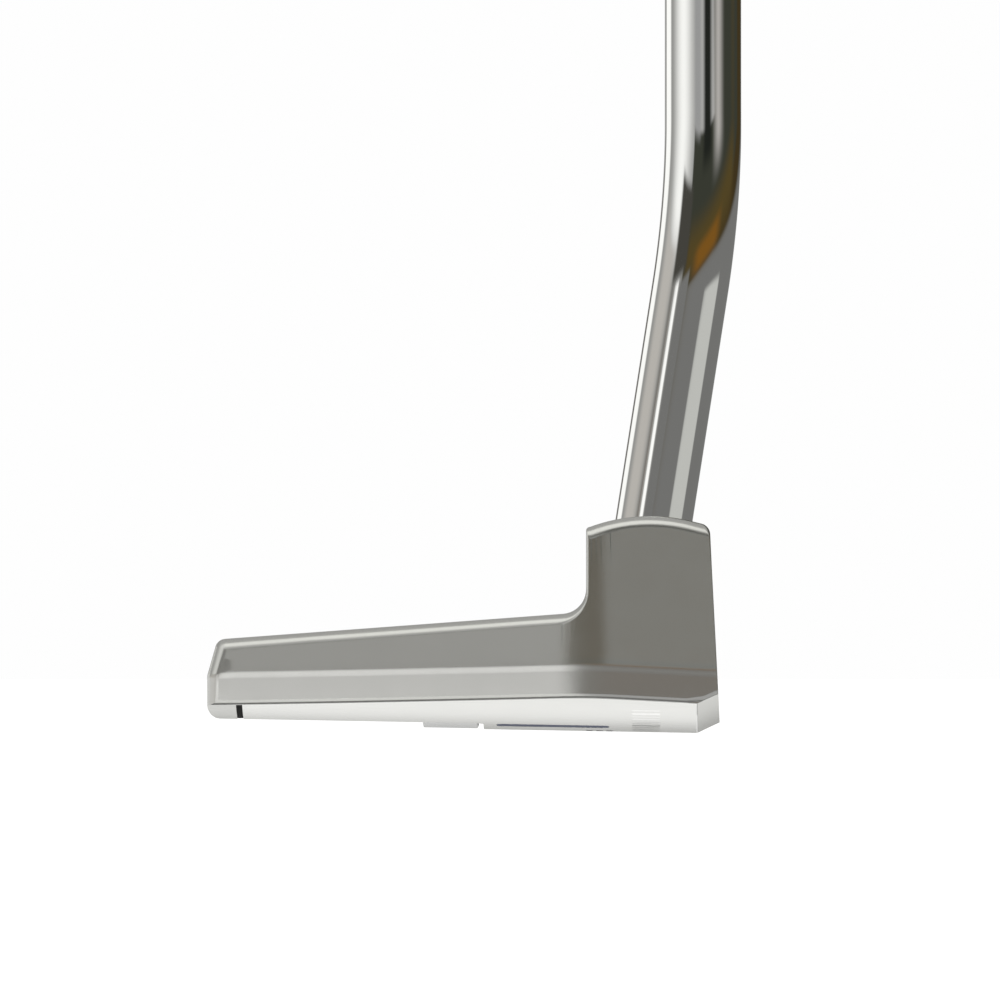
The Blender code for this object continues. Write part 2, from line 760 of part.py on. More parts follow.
def main():
    clear_scene()
    parts = new_collection("mallet_putter")
    cutters = new_collection("cutters", hidden=True)
    steel = material("head_steel", (0.55, 0.55, 0.53), 0.3, 1.0)
    bright = material("sole_steel", (0.82, 0.82, 0.8), 0.25, 1.0)
    glue = material("adhesive", (0.75, 0.7, 0.55), 0.6, 0.0)
    navy = material("navy_enamel", (0.05, 0.07, 0.16), 0.3, 0.0)
    black = material("black_enamel", (0.02, 0.02, 0.02), 0.3, 0.0)
    aluminium = material("deck_aluminium", (0.7, 0.71, 0.72), 0.3, 1.0)
    white = material("white_enamel", (0.9, 0.9, 0.88), 0.35, 0.0)
    screw_steel = material("screw_steel", (0.5, 0.5, 0.5), 0.35, 1.0)
    chrome = material("shaft_chrome", (0.8, 0.8, 0.79), 0.08, 1.0)
    plastic = material("plug_plastic", (0.12, 0.12, 0.12), 0.5, 0.0)
    paper = material("band_label", (0.82, 0.83, 0.84), 0.35, 0.0)
    tape_paper = material("tape_paper", (0.8, 0.77, 0.65), 0.8, 0.0)
    rubber = material("grip_rubber", (0.03, 0.03, 0.033), 0.75, 0.0)
    cap_rubber = material("cap_rubber", (0.04, 0.04, 0.045), 0.6, 0.0)

    body = head_body(parts, cutters)
    plate, bond, inlays = sole_pieces(parts, cutters)
    deck, line, screws = deck_pieces(parts, cutters)
    shaft = tube("shaft", shaft_path(), WALL, parts)
    epoxy = sleeve("hosel_epoxy", EPOXY_INNER, EPOXY_OUTER, 0.6, 13.2, parts)
    along_tip(epoxy, BORE_BOTTOM_Z)
    plug = object_from("shaft_tip_plug", cylinder(4.1, (0, 0, 0.4), (0, 0, 8.4)), parts)
    along_tip(plug, SHAFT_FOOT_Z)
    grip, cap, tape, band = grip_pieces(parts)

    finishes = [
        (body, steel),
        (plate, bright),
        (bond, glue),
        (deck, aluminium),
        (line, white),
        (shaft, chrome),
        (epoxy, glue),
        (plug, plastic),
        (grip, rubber),
        (cap, cap_rubber),
        (tape, tape_paper),
        (band, paper),
    ]
    finishes += [(screw, screw_steel) for screw in screws]
    finishes += [(piece, navy if "badge" in piece.name else black) for piece in inlays]
    putter = bpy.data.objects.new("putter", None)
    parts.objects.link(putter)
    for thing, finish in finishes:
        thing.data.materials.clear()
        thing.data.materials.append(finish)
        thing.parent = putter


main()
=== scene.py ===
"""Mallet putter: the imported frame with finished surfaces, materials, studio light and camera."""

from math import acos, atan2, cos, exp, pi, radians, sin, sqrt, tan

import bmesh
import bpy
from mathutils import Matrix, Vector


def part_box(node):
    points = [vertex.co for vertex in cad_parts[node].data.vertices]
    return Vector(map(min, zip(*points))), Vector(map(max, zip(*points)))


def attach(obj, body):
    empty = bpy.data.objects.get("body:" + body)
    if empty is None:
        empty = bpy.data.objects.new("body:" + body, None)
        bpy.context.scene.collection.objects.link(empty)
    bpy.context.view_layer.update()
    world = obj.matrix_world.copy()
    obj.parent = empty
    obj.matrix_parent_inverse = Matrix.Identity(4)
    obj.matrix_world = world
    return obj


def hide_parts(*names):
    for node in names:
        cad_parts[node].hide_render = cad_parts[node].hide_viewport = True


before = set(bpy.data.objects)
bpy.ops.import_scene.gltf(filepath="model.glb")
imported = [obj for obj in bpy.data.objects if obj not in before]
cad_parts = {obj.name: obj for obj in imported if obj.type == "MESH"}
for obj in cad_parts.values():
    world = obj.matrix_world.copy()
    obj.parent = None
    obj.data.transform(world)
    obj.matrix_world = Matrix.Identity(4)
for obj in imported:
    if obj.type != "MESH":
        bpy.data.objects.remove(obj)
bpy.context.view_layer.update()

MM = 0.001

# Sole
SOLE_TILT = radians(1.03)
CAMBER_RADIUS = 270.0
CHAMFER_X = 13.03
CHAMFER_RISE = 0.49
SOLE_FILLET = 0.5

# Head seen from the toe
FACE_FOOT_X = 15.825
LOFT = radians(2.95)
CROWN_CENTRE = (7.3, 5.2)
CROWN_RADIUS = 21.0
CROWN_FRONT_X = 12.2
FRONT_TOP = (14.55, 25.05)
FRONT_CORNER_RADIUS = 1.4
FACE_HEIGHTS = (3.4, 5.0, 6.4, 7.7, 9.5, 12.0, 16.0, 20.0)
BLOCK_REAR_X = -0.47
RIM_RADIUS = 0.5
EDGE_RADIUS = 1.4
FACE_EDGE = 0.06
REAR_EDGE = 0.22
INNER_EDGE = 0.8
WING_FILLET = 3.0
WING_TOP_Z = 14.58
WING_SLOPE = 0.0739
TAIL_TOP_X = -45.3
TAIL_REAR_X = -46.56
TAIL_KNEE_Z = 6.8
TAIL_FOOT = 1.6
TAIL_FOOT_Z = 3.1
PROFILE_BOTTOM = -9.0

# Head seen from above
OUTLINE_FRONT = (20.0, 43.95)
OUTLINE_CORNER = (-0.4, 48.0)
OUTLINE_REAR = (-56.0, 34.21)
OUTLINE_RADIUS = 18.0
BAND_HEIGHT = 4.2
CREASE_SOFTNESS = 0.15
CREASE_BEAD = 0.035
CREASE_BEAD_WIDTH = 0.45
CREASE_BEAD_DROP = 0.3
DRAFT = radians(7.0)
WING_INNER_Y = 20.2
CAVITY_FRONT_X = -13.05
SHELF_TOP = 5.2
SKIRT_LEVELS = (9.5, 14.0, 19.0, 32.0)
BELOW_HEAD = -12.0
ABOVE_HEAD = 40.0

# Hollows in the block, open to the sole, on both sides of the shaft
HOLLOW_X = (2.6, 10.6)
HOLLOWS_Y = ((-39.0, -4.0), (28.5, 39.0))
HOLLOW_TOP = 20.5

# Alignment deck
DECK_TOP_Z = 8.6
DECK_SLOPE = 0.05
DECK_REAR_X = -20.45
DECK_FOOT_Z = 0.2
DECK_SCREW_X = -7.2
DECK_SCREW_Y = 12.0
SCREW_HOLE_RADIUS = 1.8
COUNTERSINK_RADIUS = 3.6
COUNTERSINK_Z = (1.4, 4.4)

# Sole plate and its pocket
RIM_WIDTH = 0.8
POCKET_DEPTH = 2.2
POCKET_REAR_X = -43.05
PLATE_REAR_X = -42.3
PLATE_THICKNESS = 1.6
GAP = 0.3
SEAM = 0.05
BAR_ROW_X = 6.8
BAR_ROW_START = 7.0
BAR_LENGTH = 3.4
BAR_WIDTHS = (1.1, 0.7, 1.6, 0.7, 1.1, 2.0, 0.7, 1.1, 1.6, 0.7, 2.0, 1.1)
BAR_SPACE = 1.55
INLAY_DEPTH = 0.3
RECESS_DEPTH = 0.35
# Corner radius and steps, how far the inlay is set back, and how much wider its recess is
BADGE_FIT = (0.8, 6, 0.02, 0.1)
MARK_FIT = (0.2, 4, 0.01, 0.04)
BAR_FIT = (0.15, 3, 0.004, 0.014)

# Shaft
TIP_RADIUS = 4.7
WALL = 0.45
SHAFT_Y = 19.86
LOWER_LEAN = radians(8.85)
LIE_LEAN = radians(20.0)
BEND_POINT = (13.745, SHAFT_Y, 64.57)
BEND_RADIUS = 54.5
BORE_RADIUS = 5.0
BORE_BOTTOM_Z = 12.0
SHAFT_FOOT_Z = 12.6
SHAFT_END = 790.0
UPPER_LENGTH = 795.0
STEP_START = 150.0
STEP_GAP = 24.0
STEP_COUNT = 12
STEP_RISE = 0.2208
STEP_LENGTH = 0.8
BUTT_RADIUS = 7.35

# Grip
GRIP_LENGTH = 267.0
CAP_THICKNESS = 2.8
BAND_INNER = 7.45
BAND_OUTER = 7.62
GRIP_BORE = 7.75
GRIP_START = UPPER_LENGTH - CAP_THICKNESS - GAP - GRIP_LENGTH
FLAT_SHARE = (0.56, 0.94)
RIB_PITCH = 2.6
RIB_DEPTH = 0.22
GROOVE_PITCH = 4.2
GROOVE_DEPTH = 0.26
# Distance from the grip's lower end, width, and depth to the flat and to the palm side
GRIP_SECTIONS = (
    (0.0, 17.4, 8.7, 8.9),
    (3.0, 18.6, 9.3, 9.5),
    (30.0, 20.0, 9.8, 10.2),
    (75.0, 22.0, 10.4, 11.2),
    (120.0, 23.8, 11.0, 12.2),
    (165.0, 25.2, 11.4, 13.2),
    (200.0, 26.2, 11.7, 14.6),
    (228.0, 26.8, 11.9, 16.8),
    (248.0, 27.0, 12.0, 18.6),
    (262.0, 27.0, 12.0, 19.2),
    (267.0, 26.4, 11.7, 18.8),
)

# The cap's side from its foot over its rounded edge to the vent: distance inwards and upwards
CAP_LEVELS = (
    (0.35, 0.0), (0.1, 0.1), (0.0, 0.35), (0.0, 1.7), (0.12, 2.15), (0.4, 2.5),
    (0.8, 2.72), (1.3, 2.8), (3.4, 2.8), (3.7, 2.7), (3.8, 2.4), (4.0, 2.3),
)
CAP_PLUG_RADIUS = 6.5
VENT_RADIUS = 1.2

# Label: its ends and stripes as distances below the grip's lower end
NAVY = (0.035, 0.05, 0.13)
PALE_BLUE = (0.38, 0.5, 0.7)
LABEL_ENDS = (60, 25)
LABEL_STRIPES = (
    (57, 54.5, NAVY), (52.5, 51.5, PALE_BLUE), (33.5, 32.5, PALE_BLUE), (30.5, 28, NAVY),
)

# Camera: five metres from the head on its toe side. The middle of the picture and the eye are
# given as X and Z, and the width seen is the one at VIEW_PLANE_Y.
VIEW_CENTRE = (-11.03, 28.23)
EYE = (12.0, 12.0)
VIEW_WIDTH = 121.95
VIEW_PLANE_Y = -20.0
VIEW_DISTANCE = 5000.0

tools = bpy.data.collections.new("tools")
bpy.context.scene.collection.children.link(tools)
putter = bpy.data.collections.new("mallet_putter_looks")
bpy.context.scene.collection.children.link(putter)


# ---- shapes

def object_from(name, shape, group):
    """Turns a bmesh in millimetres into an object in metres."""
    bmesh.ops.scale(shape, vec=(MM, MM, MM), verts=shape.verts)
    bmesh.ops.recalc_face_normals(shape, faces=shape.faces)
    mesh = bpy.data.meshes.new(name)
    shape.to_mesh(mesh)
    shape.free()
    thing = bpy.data.objects.new(name, mesh)
    group.objects.link(thing)
    return thing


def loft(rings, closed=False):
    """A solid through rings of equal length, with its ends capped or, if closed, joined."""
    shape = bmesh.new()
    loops = [[shape.verts.new(point) for point in ring] for ring in rings]
    count = len(rings[0])
    following = loops[1:] + loops[:1] if closed else loops[1:]
    for lower, upper in zip(loops, following):
        for i in range(count):
            j = (i + 1) % count
            shape.faces.new((lower[i], lower[j], upper[j], upper[i]))
    if not closed:
        shape.faces.new(list(reversed(loops[0])))
        shape.faces.new(loops[-1])
    return shape


def triangulated(shape):
    """Splits the sides of a loft into triangles; its flat ends stay whole."""
    sides = [face for face in shape.faces if len(face.verts) == 4]
    bmesh.ops.triangulate(shape, faces=sides)
    return shape


def arc(centre, radius, start, end, steps):
    angles = [start + (end - start) * i / steps for i in range(steps + 1)]
    return [(centre[0] + radius * cos(a), centre[1] + radius * sin(a)) for a in angles]


def quarter(radius, steps):
    """Distances inwards and along of points round a quarter circle."""
    turns = [i / steps * pi / 2 for i in range(steps + 1)]
    return [(radius * (1 - sin(turn)), radius * (1 - cos(turn))) for turn in turns]


def rounded_corner(before, corner, after, radius, steps):
    """The arc of this radius that rounds a corner of a polyline in a plane."""
    a = (Vector(before) - Vector(corner)).normalized()
    b = (Vector(after) - Vector(corner)).normalized()
    half = acos(max(-1.0, min(1.0, a.dot(b)))) / 2
    centre = Vector(corner) + (a + b).normalized() * (radius / sin(half))
    first = Vector(corner) + a * (radius / tan(half)) - centre
    last = Vector(corner) + b * (radius / tan(half)) - centre
    start = atan2(first.y, first.x)
    turn = (atan2(last.y, last.x) - start + pi) % (2 * pi) - pi
    return arc(centre, radius, start, start + turn, steps)


def between(first, last, steps):
    """Points strictly between two points of a line."""
    a, b = Vector(first), Vector(last)
    return [tuple(a.lerp(b, i / steps)) for i in range(1, steps)]


def face_x(z):
    return FACE_FOOT_X - tan(LOFT) * z


def wing_top(x):
    return WING_TOP_Z + WING_SLOPE * x


def tail_end(inner, points):
    """The rear of a side profile, from the wing's top over the tail to its foot."""
    wing_start = points[-1]
    tail_top = (TAIL_TOP_X + inner * 0.85, wing_top(TAIL_TOP_X) - inner)
    rear = TAIL_REAR_X + inner
    above_knee = (rear, TAIL_KNEE_Z + 0.1)
    corner = rounded_corner(wing_start, tail_top, above_knee, max(0.1, 1.3 - inner), 6)
    points += between(wing_start, corner[0], 12) + corner
    points += rounded_corner(tail_top, (rear, TAIL_KNEE_Z), (rear, 0.0), 2.0, 4)
    foot_radius = max(0.3, TAIL_FOOT - inner)
    points += arc((rear + foot_radius, TAIL_FOOT_Z), foot_radius, pi, pi * 1.42, 7)
    points.append((points[-1][0], PROFILE_BOTTOM))
    return points


def side_profile(inner=0.0):
    """The head's outline seen from the toe, from the foot of the face over the top to the tail.

    inner moves the outline into the metal, by less at the face and at the block's rear.
    """
    radius = CROWN_RADIUS - inner
    rear_x = BLOCK_REAR_X + inner * REAR_EDGE
    start = acos((CROWN_FRONT_X - CROWN_CENTRE[0]) / CROWN_RADIUS)
    end = acos((rear_x + RIM_RADIUS - CROWN_CENTRE[0]) / radius)
    crown = arc(CROWN_CENTRE, radius, start, end, 28)
    foot = (face_x(PROFILE_BOTTOM) - inner * FACE_EDGE, PROFILE_BOTTOM)
    front_top = (FRONT_TOP[0] - inner * FACE_EDGE, FRONT_TOP[1] - inner)
    front_radius = max(0.08, FRONT_CORNER_RADIUS - inner)
    points = [foot]
    points += [(face_x(z) - inner * FACE_EDGE, z) for z in FACE_HEIGHTS]
    points += rounded_corner(foot, front_top, crown[0], front_radius, 8)
    points += crown
    rim_radius = max(0.08, RIM_RADIUS - inner)
    rim = (rear_x, crown[-1][1] - 0.05)
    points += rounded_corner(crown[-1], rim, (rear_x, 0.0), rim_radius, 5)[1:]
    wing_foot = (rear_x, wing_top(rear_x) - inner)
    far_top = (TAIL_TOP_X, wing_top(TAIL_TOP_X) - inner)
    fillet = rounded_corner(points[-1], wing_foot, far_top, WING_FILLET + inner, 12)
    points += between(points[-1], fillet[0], 4) + fillet
    return tail_end(inner, points)


def camber(y):
    return y**2 / (2 * CAMBER_RADIUS)


def sole_z(x, y):
    """The sole's height, with the chamfer under the leading edge."""
    return camber(y) - tan(SOLE_TILT) * x + max(0.0, x - CHAMFER_X) * CHAMFER_RISE


def half_outline():
    """The head's outline from above on one side: front, widest corner, rear."""
    corner = rounded_corner(OUTLINE_FRONT, OUTLINE_CORNER, OUTLINE_REAR, OUTLINE_RADIUS, 12)
    front = between(OUTLINE_FRONT, corner[0], 8)
    rear = between(corner[-1], OUTLINE_REAR, 16)
    return [OUTLINE_FRONT, *front, *corner, *rear, OUTLINE_REAR]


HALF_OUTLINE = half_outline()
FULL_OUTLINE = HALF_OUTLINE + [(x, -y) for x, y in reversed(HALF_OUTLINE)]


def station(half, x):
    """The point of half an outline at this X."""
    for (x1, y1), (x2, y2) in zip(half, half[1:]):
        if x1 >= x >= x2:
            return (x, y1 + (y2 - y1) * (x - x1) / (x2 - x1))
    return half[-1]


def crease_z(x, y):
    return sole_z(min(x, CHAMFER_X), y) + BAND_HEIGHT


def wall_y(x, z):
    """How far the toe or heel wall stands from the middle at this station and height."""
    y = station(HALF_OUTLINE, x)[1]
    return y - max(0.0, z - crease_z(x, y)) * tan(DRAFT) * 1.02


def inset(points, distances):
    """A closed outline moved inwards, by a distance of its own at each point."""
    count = len(points)
    area = sum(
        points[i][0] * points[(i + 1) % count][1] - points[(i + 1) % count][0] * points[i][1]
        for i in range(count)
    )
    side = 1.0 if area > 0 else -1.0
    moved = []
    for i, point in enumerate(points):
        before = (Vector(point) - Vector(points[i - 1])).normalized()
        after = (Vector(points[(i + 1) % count]) - Vector(point)).normalized()
        middle = (before + after).normalized()
        normal = Vector((-middle.y, middle.x)) * side
        reach = distances[i] / max(0.3, middle.dot(before))
        moved.append(tuple(Vector(point) + normal * reach))
    return moved


def skirt():
    """The head's sides: a rounded foot, an upright band along the sole, and a drafted wall.

    A faint raised bead runs along the band just below its crease with the wall.
    """
    count = len(FULL_OUTLINE)
    crease = [crease_z(x, y) for x, y in FULL_OUTLINE]

    def ring(distance, height):
        """A ring this far in from the outline; height maps an outline point's index to z."""
        moved = inset(FULL_OUTLINE, [distance] * count)
        return [(x, y, height(i, x, y)) for i, (x, y) in enumerate(moved)]

    foot = SOLE_FILLET
    rings = [
        ring(foot * 1.3, lambda i, x, y: BELOW_HEAD),
        ring(foot * 1.3, lambda i, x, y: sole_z(x, y) - 0.05),
    ]
    for inward, lift in quarter(foot, 7)[1:]:
        rings.append(ring(inward, lambda i, x, y, z=lift: sole_z(x, y) + z))
    for step in range(-10, 11):
        rise = step * 0.11
        distance = tan(DRAFT) / 2 * (rise + sqrt(rise**2 + CREASE_SOFTNESS**2))
        distance -= CREASE_BEAD * exp(-(((rise + CREASE_BEAD_DROP) / CREASE_BEAD_WIDTH) ** 2))
        rings.append(ring(distance, lambda i, x, y, z=rise: crease[i] + z))
    for z_top in SKIRT_LEVELS:
        top = inset(FULL_OUTLINE, [(z_top - z) * tan(DRAFT) for z in crease])
        rings.append([(x, y, z_top) for x, y in top])
    return triangulated(loft(rings))


def filled_profile():
    """The side profile drawn out along Y, rounded where it meets the toe and heel walls."""
    outer = EDGE_RADIUS * 1.14
    rings = [[(x, 60.0, z) for x, z in side_profile(outer)]]
    rings.append([(x, wall_y(x, z) + 0.08, z) for x, z in side_profile(outer)])
    for inner, depth in quarter(EDGE_RADIUS, 10):
        rings.append([(x, wall_y(x, z) - depth, z) for x, z in side_profile(inner)])
    mirrored = [[(x, -y, z) for x, y, z in ring] for ring in reversed(rings)]
    return triangulated(loft(rings + mirrored))


def gap_profile(drop):
    """The side view of what the gap's rounded upper edge leaves open, drop below the wing's top."""
    rear_x = BLOCK_REAR_X - 0.13
    wing_foot = (rear_x, wing_top(rear_x) - drop)
    far_top = (TAIL_TOP_X, wing_top(TAIL_TOP_X) - drop)
    start = (rear_x, 26.0)
    fillet = rounded_corner(start, wing_foot, far_top, WING_FILLET, 12)
    points = [start, (rear_x, 20.0), *fillet]
    return tail_end(drop, points) + [(-60.0, PROFILE_BOTTOM), (-60.0, 26.0)]


def gap_edge(side):
    """The cutter that rounds the upper and rear edges of one wing towards the gap."""
    rings = [[(x, side * (WING_INNER_Y - 0.6), z) for x, z in gap_profile(INNER_EDGE)]]
    for inner, depth in quarter(INNER_EDGE, 7):
        y = WING_INNER_Y - 0.037 + depth  # crosses the wing's side
        rings.append([(x, side * y, z) for x, z in gap_profile(inner)])
    y = WING_INNER_Y + INNER_EDGE + 0.1
    rings.append([(x, side * y, z) for x, z in gap_profile(-0.02)])
    return triangulated(loft(rings))


def slab_over_sole(low, high):
    """The layer between two copies of the sole, lifted by low and by high."""
    across = [i * 1.75 for i in range(-32, 33)]
    rings = []
    for x in (-60.0, -40.0, -20.0, 0.0, CHAMFER_X, 24.0):
        bottom = [(x, y, sole_z(x, y) + low) for y in across]
        top = [(x, y, sole_z(x, y) + high) for y in reversed(across)]
        rings.append(bottom + top)
    return loft(rings)


def prism_y(profile, low, high):
    """A side-view outline in X and Z, drawn out along Y."""
    return loft([[(x, low, z) for x, z in profile], [(x, high, z) for x, z in profile]])


def prism_z(outline, low, high):
    return loft([[(x, y, low) for x, y in outline], [(x, y, high) for x, y in outline]])


def rectangle(low, high):
    return [(low[0], low[1]), (high[0], low[1]), (high[0], high[1]), (low[0], high[1])]


def cylinder(radius, start, end, end_radius=None, sides=96):
    """A capped cylinder or cone between two points."""
    shape = bmesh.new()
    start, end = Vector(start), Vector(end)
    bmesh.ops.create_cone(
        shape,
        cap_ends=True,
        segments=sides,
        radius1=radius,
        radius2=radius if end_radius is None else end_radius,
        depth=(end - start).length,
    )
    turn = (end - start).to_track_quat("Z", "Y").to_matrix().to_4x4()
    bmesh.ops.transform(
        shape, matrix=Matrix.Translation((start + end) / 2) @ turn, verts=shape.verts
    )
    return shape


def baked(thing):
    """Replaces an object's mesh by the result of its modifiers."""
    graph = bpy.context.evaluated_depsgraph_get()
    mesh = bpy.data.meshes.new_from_object(thing.evaluated_get(graph))
    thing.modifiers.clear()
    thing.data = mesh
    return thing


def shaped(thing, shapes, operation="DIFFERENCE"):
    """Cuts each bmesh out of the object, or keeps or adds it, and keeps the result."""
    made = []
    for i, shape in enumerate(shapes):
        tool = object_from(f"{thing.name}_tool_{i}", shape, tools)
        step = thing.modifiers.new(f"{operation.lower()} {i}", "BOOLEAN")
        step.operation = operation
        step.solver = "EXACT"
        step.object = tool
        made.append(tool)
    baked(thing)
    for tool in made:
        bpy.data.objects.remove(tool, do_unlink=True)
    return thing


def cleaned(thing):
    """Joins points that coincide, so that the next cut starts from a sound solid."""
    shape = bmesh.new()
    shape.from_mesh(thing.data)
    bmesh.ops.remove_doubles(shape, verts=shape.verts, dist=0.002 * MM)
    bmesh.ops.dissolve_degenerate(shape, dist=0.001 * MM, edges=shape.edges)
    shape.to_mesh(thing.data)
    shape.free()
    return thing


def smooth(thing, angle=32.0, weighted=True):
    """Joins coinciding points and shades the round parts smooth and the flat parts flat."""
    shape = bmesh.new()
    shape.from_mesh(thing.data)
    bmesh.ops.remove_doubles(shape, verts=shape.verts, dist=0.001 * MM)
    shape.to_mesh(thing.data)
    shape.free()
    thing.data.shade_smooth()
    thing.data.set_sharp_from_angle(angle=radians(angle))
    if weighted:
        step = thing.modifiers.new("weighted normals", "WEIGHTED_NORMAL")
        step.keep_sharp = True
        step.weight = 80
    return thing


def bevelled(thing, width, angle=50.0, segments=3):
    """Breaks the sharp edges of a piece by a small width."""
    step = thing.modifiers.new("edge break", "BEVEL")
    step.width = width * MM
    step.segments = segments
    step.limit_method = "ANGLE"
    step.angle_limit = radians(angle)
    step.use_clamp_overlap = True
    step.harden_normals = False
    return baked(thing)


def plate_outline(margin, front_x, rear_x, inner_y, gap_x, corner, corner_steps=8):
    """The U of the sole plate seen from above: across the front and along both wings."""
    moved = inset(FULL_OUTLINE, [margin] * len(FULL_OUTLINE))
    half = moved[: len(HALF_OUTLINE)]
    side = [station(half, front_x)]
    side += [point for point in half if rear_x < point[0] < front_x]
    side.append(station(half, rear_x))
    side.append((rear_x, inner_y))
    side += rounded_corner(
        (rear_x, inner_y), (gap_x, inner_y), (gap_x, 0.0), corner, corner_steps
    )
    return side + [(x, -y) for x, y in reversed(side)]


def sheet(name, outline, low, high):
    """A layer of the sole with the outline given from above."""
    thing = object_from(name, prism_z(outline, BELOW_HEAD, 14.0), putter)
    return shaped(thing, [slab_over_sole(low, high)], "INTERSECT")


def taken_shape(thing):
    """An object's mesh as a bmesh in millimetres; the object is removed."""
    shape = bmesh.new()
    shape.from_mesh(thing.data)
    bmesh.ops.scale(shape, vec=(1 / MM, 1 / MM, 1 / MM), verts=shape.verts)
    bpy.data.objects.remove(thing, do_unlink=True)
    return shape


LOWER = Vector((sin(LOWER_LEAN), 0.0, cos(LOWER_LEAN)))
UPPER = Vector((0.0, sin(LIE_LEAN), cos(LIE_LEAN)))


def on_lower_axis(distance):
    """A point of the shaft's lower axis, this far below the bend's corner."""
    return Vector(BEND_POINT) - LOWER * distance


def depth_at(z):
    """How far below the bend's corner the lower axis reaches this height."""
    return (BEND_POINT[2] - z) / LOWER.z


def gap_plan():
    gap = [(-60.0, WING_INNER_Y)]
    gap += rounded_corner(gap[0], (CAVITY_FRONT_X, WING_INNER_Y), (CAVITY_FRONT_X, 0.0), 1.4, 8)
    return gap + [(x, -y) for x, y in reversed(gap)]


def screw_cut(side, low, high, radius=SCREW_HOLE_RADIUS, end_radius=None):
    """The hole for one of the deck's screws, or the countersink for its head."""
    x, y = DECK_SCREW_X, side * DECK_SCREW_Y
    return cylinder(radius, (x, y, low), (x, y, high), end_radius, sides=48)


def head_shape():
    body = object_from("putter_head", filled_profile(), putter)
    shaped(body, [skirt(), slab_over_sole(0.0, 60.0)], "INTERSECT")
    above = rectangle((-16.0, -WING_INNER_Y), (BLOCK_REAR_X, WING_INNER_Y))
    gap = prism_z(gap_plan(), BELOW_HEAD, ABOVE_HEAD)
    shaped(body, [gap, prism_z(above, SHELF_TOP, ABOVE_HEAD)])
    for side in (1.0, -1.0):
        shaped(cleaned(body), [gap_edge(side)])
    cleaned(body)
    pocket_plan = plate_outline(
        RIM_WIDTH, CHAMFER_X, POCKET_REAR_X, WING_INNER_Y - 1.0, CAVITY_FRONT_X - 1.0, 0.4, 4
    )
    axis_foot = on_lower_axis(depth_at(BORE_BOTTOM_Z))
    cuts = [taken_shape(sheet("pocket", pocket_plan, -3.0, POCKET_DEPTH))]
    for low_y, high_y in HOLLOWS_Y:
        plan = rectangle((HOLLOW_X[0], low_y), (HOLLOW_X[1], high_y))
        cuts.append(prism_z(plan, -4.0, HOLLOW_TOP))
    cuts.append(cylinder(BORE_RADIUS, axis_foot, on_lower_axis(depth_at(ABOVE_HEAD))))
    for side in (-1, 1):
        cuts.append(screw_cut(side, 0.0, 9.0))
        cuts.append(screw_cut(side, *COUNTERSINK_Z, COUNTERSINK_RADIUS, 1.5))
    shaped(body, cuts)
    return smooth(body)


def rounded_rectangle(x, y, length, width, radius, steps=6):
    corners = rectangle((x - length / 2, y - width / 2), (x + length / 2, y + width / 2))
    points = []
    for i, corner in enumerate(corners):
        points += rounded_corner(corners[i - 1], corner, corners[(i + 1) % 4], radius, steps)
    return points


def bar_row(side):
    """A row of short bars across one half of the sole, each as a middle and a width."""
    y = BAR_ROW_START
    bars = []
    for width in BAR_WIDTHS:
        bars.append((side * (y + width / 2), width))
        y += width + BAR_SPACE
    return bars


def plan_of(low, high):
    """The middle, length and width of a box seen from above, in millimetres."""
    x, y = (low.x + high.x) / 2 / MM, (low.y + high.y) / 2 / MM
    return x, y, (high.x - low.x) / MM, (high.y - low.y) / MM


def inlay(name, plan, radius, steps, set_back, margin):
    """A stroke let into the sole, and the cutter for its slightly wider recess."""
    x, y, length, width = plan
    stroke = rounded_rectangle(x, y, length, width, radius, steps)
    wider = rounded_rectangle(
        x, y, length + margin, width + margin, radius + margin / 2, steps
    )
    piece = sheet(name, stroke, set_back, INLAY_DEPTH)
    return piece, taken_shape(sheet("recess", wider, -1.0, RECESS_DEPTH))


def joined(name, shapes):
    """One object from several bmeshes in millimetres."""
    whole = bmesh.new()
    for shape in shapes:
        mesh = bpy.data.meshes.new(name)
        shape.to_mesh(mesh)
        shape.free()
        whole.from_mesh(mesh)
        bpy.data.meshes.remove(mesh)
    return object_from(name, whole, putter)


def sole_shapes():
    """The sole plate, its inlays by the CAD node that each stands for, and its rows of bars."""
    outline = plate_outline(
        RIM_WIDTH + SEAM, CHAMFER_X - SEAM, PLATE_REAR_X, WING_INNER_Y, CAVITY_FRONT_X, 1.4
    )
    plate = sheet("sole_insert", outline, 0.0, PLATE_THICKNESS)
    inlays, recesses, bars = {}, [], []
    for place in ("toe", "heel"):
        fits = {f"badge_{place}": BADGE_FIT}
        fits.update({f"mark_{place}_{i}": MARK_FIT for i in (1, 2, 3)})
        for name, fit in fits.items():
            node = f"sole_{name}"
            inlays[node], recess = inlay(name, plan_of(*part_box(node)), *fit)
            recesses.append(recess)
    for side, place in ((-1, "toe"), (1, "heel")):
        shapes = []
        for y, width in bar_row(side):
            bar, recess = inlay("bar", (BAR_ROW_X, y, BAR_LENGTH, width), *BAR_FIT)
            recesses.append(recess)
            shapes.append(taken_shape(bar))
        bars.append(joined(f"sole_bars_{place}", shapes))
    shaped(plate, recesses)
    return smooth(plate), inlays, bars


def seal_and_painted_shade(side, place):
    """The adhesive bead in the slot behind one wing's end of the sole plate; its near-black is glue
    and also painted shade for the slot's dark inside.
    """
    low_x, high_x = POCKET_REAR_X + 0.04, PLATE_REAR_X - 0.03
    low_y = WING_INNER_Y + 0.35
    high_y = station(HALF_OUTLINE, low_x)[1] - RIM_WIDTH - 0.15
    plan = rectangle((low_x, side * low_y), (high_x, side * high_y))
    return smooth(sheet(f"plate_end_seal_{place}", plan, 0.08, POCKET_DEPTH - 0.15))


def deck_top(x):
    return DECK_TOP_Z + DECK_SLOPE * x


